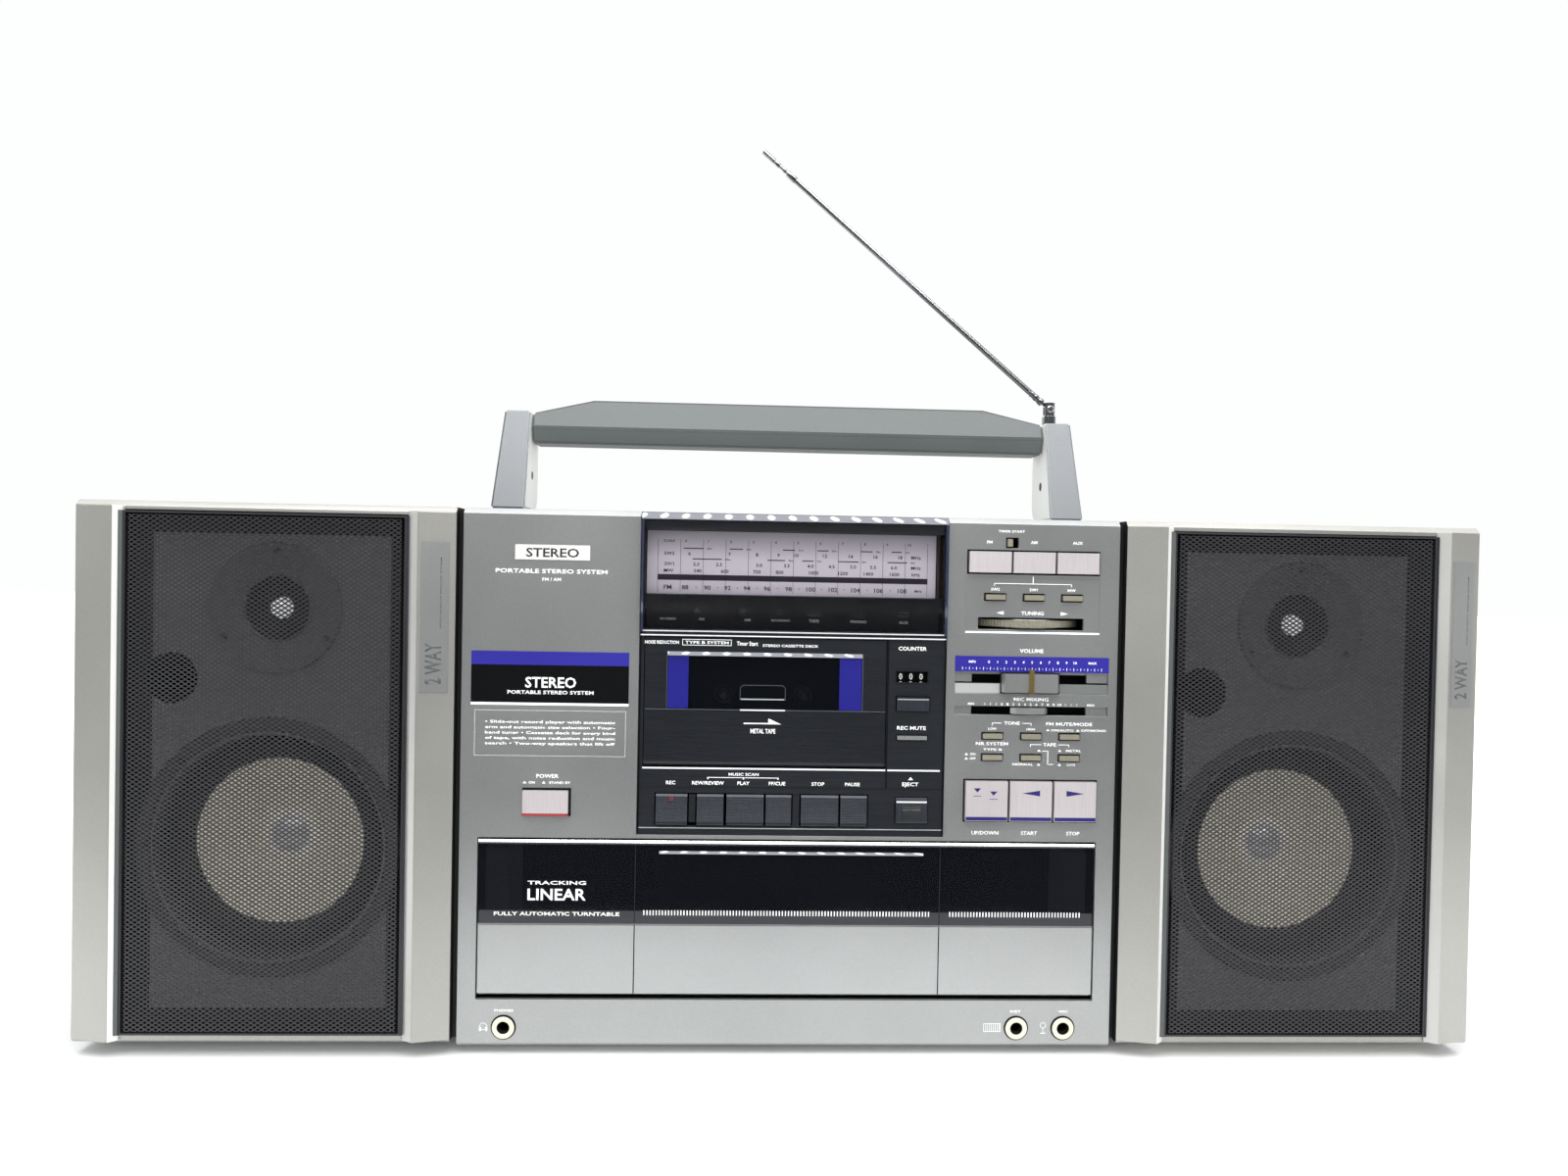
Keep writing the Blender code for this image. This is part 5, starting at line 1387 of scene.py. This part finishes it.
def speaker(name):
    body = f"speaker_{name}"
    cabinet_node, grille_node = f"speaker_cabinet_{name}", f"speaker_grille_{name}"
    woofer_node, tweeter_node = f"woofer_{name}", f"tweeter_{name}"
    cab_x, cab_depth, _ = spans(cabinet_node)
    gx, _, gz = spans(grille_node)
    wx, _, wz = spans(woofer_node)
    tx, _, tz = spans(tweeter_node)
    woofer_x, woofer_z = (wx[0] + wx[1]) / 2, (wz[0] + wz[1]) / 2
    tweeter_x, tweeter_z = (tx[0] + tx[1]) / 2, (tz[0] + tz[1]) / 2
    port_x, port_z = cab_x[0] + 44.5, 191.8
    rear = cab_depth[1]

    def sort(p, n):
        if p[2] < 6.6:
            return 2
        inside = gx[0] - 0.6 < p[0] < gx[1] + 0.6 and gz[0] - 0.6 < p[2] < gz[1] + 0.6
        if (inside and 1.0 < p[1] < 182) or (abs(n.x) > 0.9 and p[1] > 6 and not inside):
            return 1
        # The pillars' sloped faces take lighter copies of the paint as painted light, brighter on the left
        # pillar.
        slope = 20.0 < p[0] - cab_x[0] < 24.6 or 164.9 < p[0] - cab_x[0] < 171.6
        if slope and abs(n.x) > 0.3 and n.y < -0.2:
            return 3 if p[0] < woofer_x else 5
        return 4 if p[1] > 26 else 0

    shell(cabinet_node, [WARM_SILVER, MATT_BLACK, RUBBER, SLOPE_PAINTED_HIGHLIGHT, GREY, SLOPE_PAINTED_LIGHT], 0.5,
          pick=sort)
    lip = bmesh.new()
    add_box(lip, (gx[0] - 2.2, gx[0] - 0.1), (-5.0, -3.0), (gz[0], gz[1]), 0.2)
    add_box(lip, (gx[1] + 0.1, gx[1] + 1.0), (-4.6, -3.0), (gz[0], gz[1]), 0.2, 1)
    finish_piece(f"{body}_mesh_lip", lip, body, [SHADE_GREY, KEY_BLACK])
    plate = bmesh.new()
    band = 10.5
    add_box(plate, (gx[0] + band, gx[1] - band), (5.2, 5.95), (gz[0] + band, gz[1] - band), 0)
    holes = [(woofer_x, woofer_z, 58.5), (tweeter_x, tweeter_z, 30.0), (port_x, port_z, 13.2)]
    cutters = []
    for hx, hz, radius in holes:
        cutters.append(lambda part, hx=hx, hz=hz, radius=radius: add_bar(part, (hx, 0, hz), radius, (-5,
                       12), sides=64))
    finish_piece(f"{body}_baffle", carved(plate, cutters), body, BAFFLE_PAINT)
    woofer(body, woofer_node, woofer_x, woofer_z)
    tweeter(body, tweeter_node, tweeter_x, tweeter_z)
    grille = bmesh.new()
    rim = 1.0
    expanded_mesh(grille, (gx[0] + rim * 0.5, gx[1] - rim * 0.5), (gz[0] + rim * 0.5, gz[1] - rim * 0.5),
                  -4.3)
    inner = [(gx[0] + rim, gz[0] + rim), (gx[1] - rim, gz[0] + rim), (gx[1] - rim, gz[1] - rim),
             (gx[0] + rim, gz[1] - rim)]
    outer = [(gx[0], gz[0]), (gx[1], gz[0]), (gx[1], gz[1]), (gx[0], gz[1])]
    add_frame(grille, outer, inner, (-4.4, 5.0))
    finish_piece(f"{body}_mesh", grille, body, MESH_PAINT, (grille_node,), smooth=False)
    badge_plate(body, cab_x)
    speaker_back(body, cab_x, rear)


def woofer(body, node, x, z):
    bm = bmesh.new()
    cone = [(12.2, 37.5)]
    for k in range(11):
        share = k / 10
        cone.append((12.4 + 31.4 * share, 37.0 - 15.6 * share ** 0.85))
    section = cone + [(44.0, 22.6), (12.2, 39.0)]
    add_ring(bm, (x, 0, z), section, 72, 0)
    dome = [(0, 27.0), (3.5, 27.4), (7.0, 28.8), (10.4, 31.2), (12.8, 34.4), (13.6, 37.0), (0, 37.0)]
    add_turned(bm, "Y", (x, 0, z), dome, 40, 1)
    roll = []
    for k in range(9):
        angle = math.pi * k / 8
        roll.append((49.6 - 5.8 * math.cos(angle), 20.5 - 5.2 * math.sin(angle)))
    roll += [(57.6, 20.5), (57.6, 22.0), (43.6, 22.0)]
    add_ring(bm, (x, 0, z), roll, 72, 2)
    basket = [(57.0, 22.0), (57.0, 12.0), (58.6, 6.4), (61.0, 4.3), (65.8, 3.9), (67.2, 4.4), (67.4, 5.6),
              (60.0, 5.7),
              (60.0, 14.0), (60.0, 22.0)]
    add_ring(bm, (x, 0, z), basket, 72, 3)
    for radius in (66.6, 60.0):
        add_ring(bm, (x, 0, z), ring_profile(radius - 0.3, radius + 0.3, 3.9, 4.5, 0.4), 72, 5)
    for k in range(4):
        angle = math.pi / 4 + math.pi / 2 * k
        sx, sz = x + 62.0 * math.cos(angle), z + 62.0 * math.sin(angle)
        add_turned(bm, "Y", (sx, 0, sz), [(0, 3.4), (1.6, 3.5), (2.2, 4.2), (0, 4.2)], 16, 4)
    add_bar(bm, (x, 0, z), 30.0, (60.0, 80.0), sides=32, index=3, edge=1.0)
    looks = [CONE_GLOWING, DUST_CAP_GLOWING, MATT_BLACK, FRAME_PAINT, KEY_BLACK, SATIN_STEEL]
    finish_piece(f"{body}_woofer", bm, body, looks, (node,))


def tweeter(body, node, x, z):
    bm = bmesh.new()
    dish = [(16.2, 12.0), (17.0, 8.6), (22.0, 6.6), (28.0, 5.2), (31.2, 4.3), (32.2, 3.7), (33.4, 3.7),
            (34.0, 4.4), (34.0, 5.7),
            (28.0, 5.8), (28.0, 13.0), (16.2, 13.0)]
    add_ring(bm, (x, 0, z), dish, 64, 0)
    cup = [(0, 13.6), (6.0, 13.6), (10.0, 13.0), (15.0, 10.6), (16.4, 10.0), (16.4, 16.0), (0, 16.0)]
    add_turned(bm, "Y", (x, 0, z), cup, 48, 1)
    dome = [(0, 8.4), (2.2, 8.8), (4.0, 10.0), (5.4, 11.8), (5.8, 13.8), (0, 13.8)]
    add_turned(bm, "Y", (x, 0, z), dome, 32, 2)
    add_bar(bm, (x, 0, z), 20.0, (16.5, 38.0), sides=32, index=1, edge=0.8)
    for k in range(3):
        angle = math.pi / 2 + 2 * math.pi / 3 * k
        sx, sz = x + 30.0 * math.cos(angle), z + 30.0 * math.sin(angle)
        add_turned(bm, "Y", (sx, 0, sz), [(0, 3.9), (1.3, 4.0), (1.8, 4.9), (0, 4.9)], 14, 3)
    for radius in (33.4, 16.8):
        add_ring(bm, (x, 0, z), ring_profile(radius - 0.3, radius + 0.3, 3.7 if radius > 20 else 7.6, 9.0,
                 0.3), 56, 4)
    looks = [TWEETER_PAINT, MATT_BLACK, DOME_GLOWING, KEY_BLACK, SATIN_STEEL]
    finish_piece(f"{body}_tweeter", bm, body, looks, (node,))


def badge_plate(body, cab_x):
    """A thin plate on the right pillar, with embossed words that read downwards."""
    left, right = cab_x[1] - 16.3, cab_x[1] - 3.0
    low, high = 187.2, 263.8
    slope = (SPEAKER_EDGE - SPEAKER_NOSE) / 18.0
    bm = bmesh.new()

    def face(x):
        return SPEAKER_NOSE + (x - (cab_x[1] - 18.0)) * slope

    outline = [(left, face(left) - 0.35), (right, face(right) - 0.35), (right, face(right) + 0.3), (left,
               face(left) + 0.3)]
    add_prism(bm, "Z", outline, (low, high), 0.15)
    finish_piece(f"{body}_badge", bm, body, SILVER_LIGHT)
    centre = (left + right) / 2 - 0.6
    upright = dict(ink="shade", body=body, depth=face(centre) - 0.35, turn=math.pi / 2, lean=slope)
    write("2 WAY", centre, 202.0, 7.6, wide=21.0, **upright)
    write("HIGH QUALITY SPEAKER SYSTEM", left + 9.5, 238.0, 0.8, wide=36.0, **dict(upright,
          depth=face(left + 9.5) - 0.35))


def speaker_back(body, cab_x, rear):
    """Screws, a recessed terminal cup with two spring clips, and a blank plate at the back."""
    middle = (cab_x[0] + cab_x[1]) / 2
    bm = bmesh.new()
    for x in (cab_x[0] + 14, cab_x[1] - 14):
        for z in (20.0, 145.0, 268.0):
            add_turned(bm, "Y", (x, rear, z), [(0, 0.5), (1.0, 0.5), (1.2, 0.3), (3.0, 0.35), (3.4, 0.1),
                       (3.4, -0.5), (0, -0.5)], 20, 0)
    add_box(bm, (middle - 30, middle + 30), (rear - 0.5, rear + 0.6), (92.0, 132.0), 0.5, 1)
    for side in (-1, 1):
        add_box(bm, (middle + side * 12 - 7, middle + side * 12 + 7), (rear, rear + 4.5), (100.0, 124.0),
                0.8, 2 if side < 0 else 3)
    add_box(bm, (middle - 35, middle + 35), (rear - 0.5, rear + 0.3), (180.0, 215.0), 0.2, 4)
    finish_piece(f"{body}_back_fittings", bm, body, [SATIN_STEEL, MATT_BLACK, INK_RED, BLACK, SATIN_STEEL])
    write("2-WAY SPEAKER", middle, 206.0, 3.0, wide=46.0, ink="dark", body=body, depth=rear + 0.3, rear=True)
    write("8 OHM", middle, 190.0, 3.0, ink="dark", body=body, depth=rear + 0.3, rear=True)


# ---------------------------------------------------------------- inner parts that show little

def inner_parts():
    board = NODES["circuit_board"]
    board.data.materials.clear()
    board.data.materials.append(BOARD)


# ---------------------------------------------------------------- room, lights and camera

def room():
    """A white floor that grows brighter away from the set, and a world that lights from above and behind."""
    floor = bpy.data.meshes.new("floor")
    reach = FLOOR_REACH_M
    corners = [(-reach, -reach, 0), (reach, -reach, 0), (reach, reach, 0), (-reach, reach, 0)]
    floor.from_pydata(corners, [], [(0, 1, 2, 3)])
    paper = look("floor_white", "f4f5f4", 0.9, vary=0.01, cloud=0.01, glow=0.1)
    tree = paper.node_tree
    place = tree.nodes.new("ShaderNodeTexCoord")
    away = tree.nodes.new("ShaderNodeVectorMath")
    away.operation = "LENGTH"
    tree.links.new(place.outputs["Object"], away.inputs[0])
    rise = mapped(tree, away.outputs["Value"], (0.45, 1.8), (0.04, 0.75))
    tree.links.new(rise, tree.nodes["Principled BSDF"].inputs["Emission Strength"])
    floor.materials.append(paper)
    in_scene("floor", floor)
    world = bpy.data.worlds.new("room")
    bpy.context.scene.world = world
    world.use_nodes = True
    tree = world.node_tree
    tree.nodes.clear()
    out = tree.nodes.new("ShaderNodeOutputWorld")
    mix = tree.nodes.new("ShaderNodeMixShader")
    path = tree.nodes.new("ShaderNodeLightPath")
    seen = add_node(tree, "ShaderNodeBackground", {"Color": (0.985, 1.0, 0.99, 1), "Strength": 1.0})
    lit = add_node(tree, "ShaderNodeBackground", {"Strength": 1.0})
    place = tree.nodes.new("ShaderNodeTexCoord")
    split = tree.nodes.new("ShaderNodeSeparateXYZ")
    ramp = tree.nodes.new("ShaderNodeValToRGB")
    for stop, (where, value) in enumerate(((0.50, 0.09), (0.60, 0.15), (0.75, 0.55), (1.0, 1.1))):
        entry = ramp.color_ramp.elements[stop] if stop < 2 else ramp.color_ramp.elements.new(where)
        entry.position = where
        entry.color = (value, value * 1.005, value * 1.01, 1)
    half = tree.nodes.new("ShaderNodeMath")
    half.operation = "MULTIPLY_ADD"
    half.inputs[1].default_value = 0.5
    half.inputs[2].default_value = 0.5
    tree.links.new(place.outputs["Generated"], split.inputs["Vector"])
    tree.links.new(split.outputs["Z"], half.inputs[0])
    tree.links.new(half.outputs["Value"], ramp.inputs["Fac"])
    blend = tree.nodes.new("ShaderNodeMix")
    blend.data_type = "RGBA"
    blend.inputs["B"].default_value = (0.95, 0.95, 0.96, 1)
    tree.links.new(mapped(tree, split.outputs["Y"], (-0.1, 0.4)), blend.inputs["Factor"])
    tree.links.new(ramp.outputs["Color"], blend.inputs["A"])
    tree.links.new(blend.outputs["Result"], lit.inputs["Color"])
    tree.links.new(path.outputs["Is Camera Ray"], mix.inputs["Fac"])
    tree.links.new(lit.outputs["Background"], mix.inputs[1])
    tree.links.new(seen.outputs["Background"], mix.inputs[2])
    tree.links.new(mix.outputs["Shader"], out.inputs["Surface"])


def only_reflected(thing):
    """Leaves a piece of the stage visible in reflections alone."""
    thing.visible_camera = False
    thing.visible_diffuse = False
    thing.visible_shadow = False


def dark_card():
    """A dark surface some way in front, as where a table ends before a dim room."""
    mesh = bpy.data.meshes.new("dark_card")
    near, far, side, rise = FRONT_M - 0.235, -6.0, 5.0, 0.002
    corners = [(-side, far, rise), (side, far, rise), (side, near, rise), (-side, near, rise)]
    mesh.from_pydata(corners, [], [(0, 1, 2, 3)])
    mesh.materials.append(look("dim_room", "1a1b1e", 0.9, vary=0.05))
    only_reflected(in_scene("dark_card", mesh))


def soft_light(name, place, target, size, power):
    data = bpy.data.lights.new(name, "AREA")
    data.shape = "RECTANGLE"
    data.size, data.size_y = size
    data.energy = power
    thing = in_scene(name, data)
    thing.location = place
    thing.rotation_mode = "QUATERNION"
    thing.rotation_quaternion = (Vector(target) - Vector(place)).to_track_quat("-Z", "Y")
    return thing


def lamp_strip():
    """A row of small lamps above the front, for the sparkle along clear and polished edges."""
    bm = bmesh.new()
    tall = Matrix.Diagonal((*LAMP_RADII_M, 1))
    for k in range(LAMPS):
        spot = Vector(((k - (LAMPS - 1) / 2) * LAMP_PITCH_M, FRONT_M - LAMP_BEFORE_M, LAMP_HEIGHT_M))
        bmesh.ops.create_icosphere(bm, subdivisions=2, radius=1.0, matrix=Matrix.Translation(spot) @ tall)
    thing = mesh_object("lamp_strip", bm)
    thing.data.materials.append(look("lamp", "ffffff", 0.5, glow=16.0))
    only_reflected(thing)


def lights():
    soft_light("key_above", (0.0, -0.75, 1.7), (0, 0, 0.15), (2.2, 1.2), 26.0)
    fill = soft_light("front_fill", (0.0, -2.4, 1.1), (0, 0, 0.15), (2.6, 1.2), 18.0)
    fill.visible_glossy = False
    soft_light("back_fill", (0.0, 2.2, 1.6), (0, 0, 0.1), (2.4, 1.4), 30.0)
    lamp_strip()
    dark_card()


def camera():
    """A near viewpoint, a little left of the middle, level with the top of the fascia."""
    data = bpy.data.cameras.new("camera")
    data.sensor_width = 36.0
    data.lens = 25.875
    data.dof.use_dof = False
    data.clip_start = 0.01
    thing = in_scene("camera", data)
    yaw, pitch, roll = CAMERA_TURNS
    turn = Matrix.Rotation(yaw, 3, "Z") @ Matrix.Rotation(pitch, 3, "X") @ Matrix.Rotation(roll, 3, "Y")
    upright = turn @ Matrix.Rotation(math.pi / 2, 3, "X")
    thing.matrix_world = Matrix.Translation(at(*CAMERA_PLACE)) @ upright.to_4x4()
    bpy.context.scene.camera = thing


# ---------------------------------------------------------------- everything

camera()
fascia()
cabinet()
left_panel()
right_panel()
slider_slots()
fascia_buttons()
sliders()
tuning_wheel()
jacks()
tuner()
deck()
drawer()
handle()
antenna()
for side_name in ("left", "right"):
    speaker(side_name)
inner_parts()
for (body_name, ink_name), sheet in PRINTS.items():
    finish_piece(f"print_{ink_name}_{body_name}", sheet, body_name, INKS[ink_name], smooth=False)
room()
lights()
bpy.context.scene.view_settings.view_transform = "Standard"
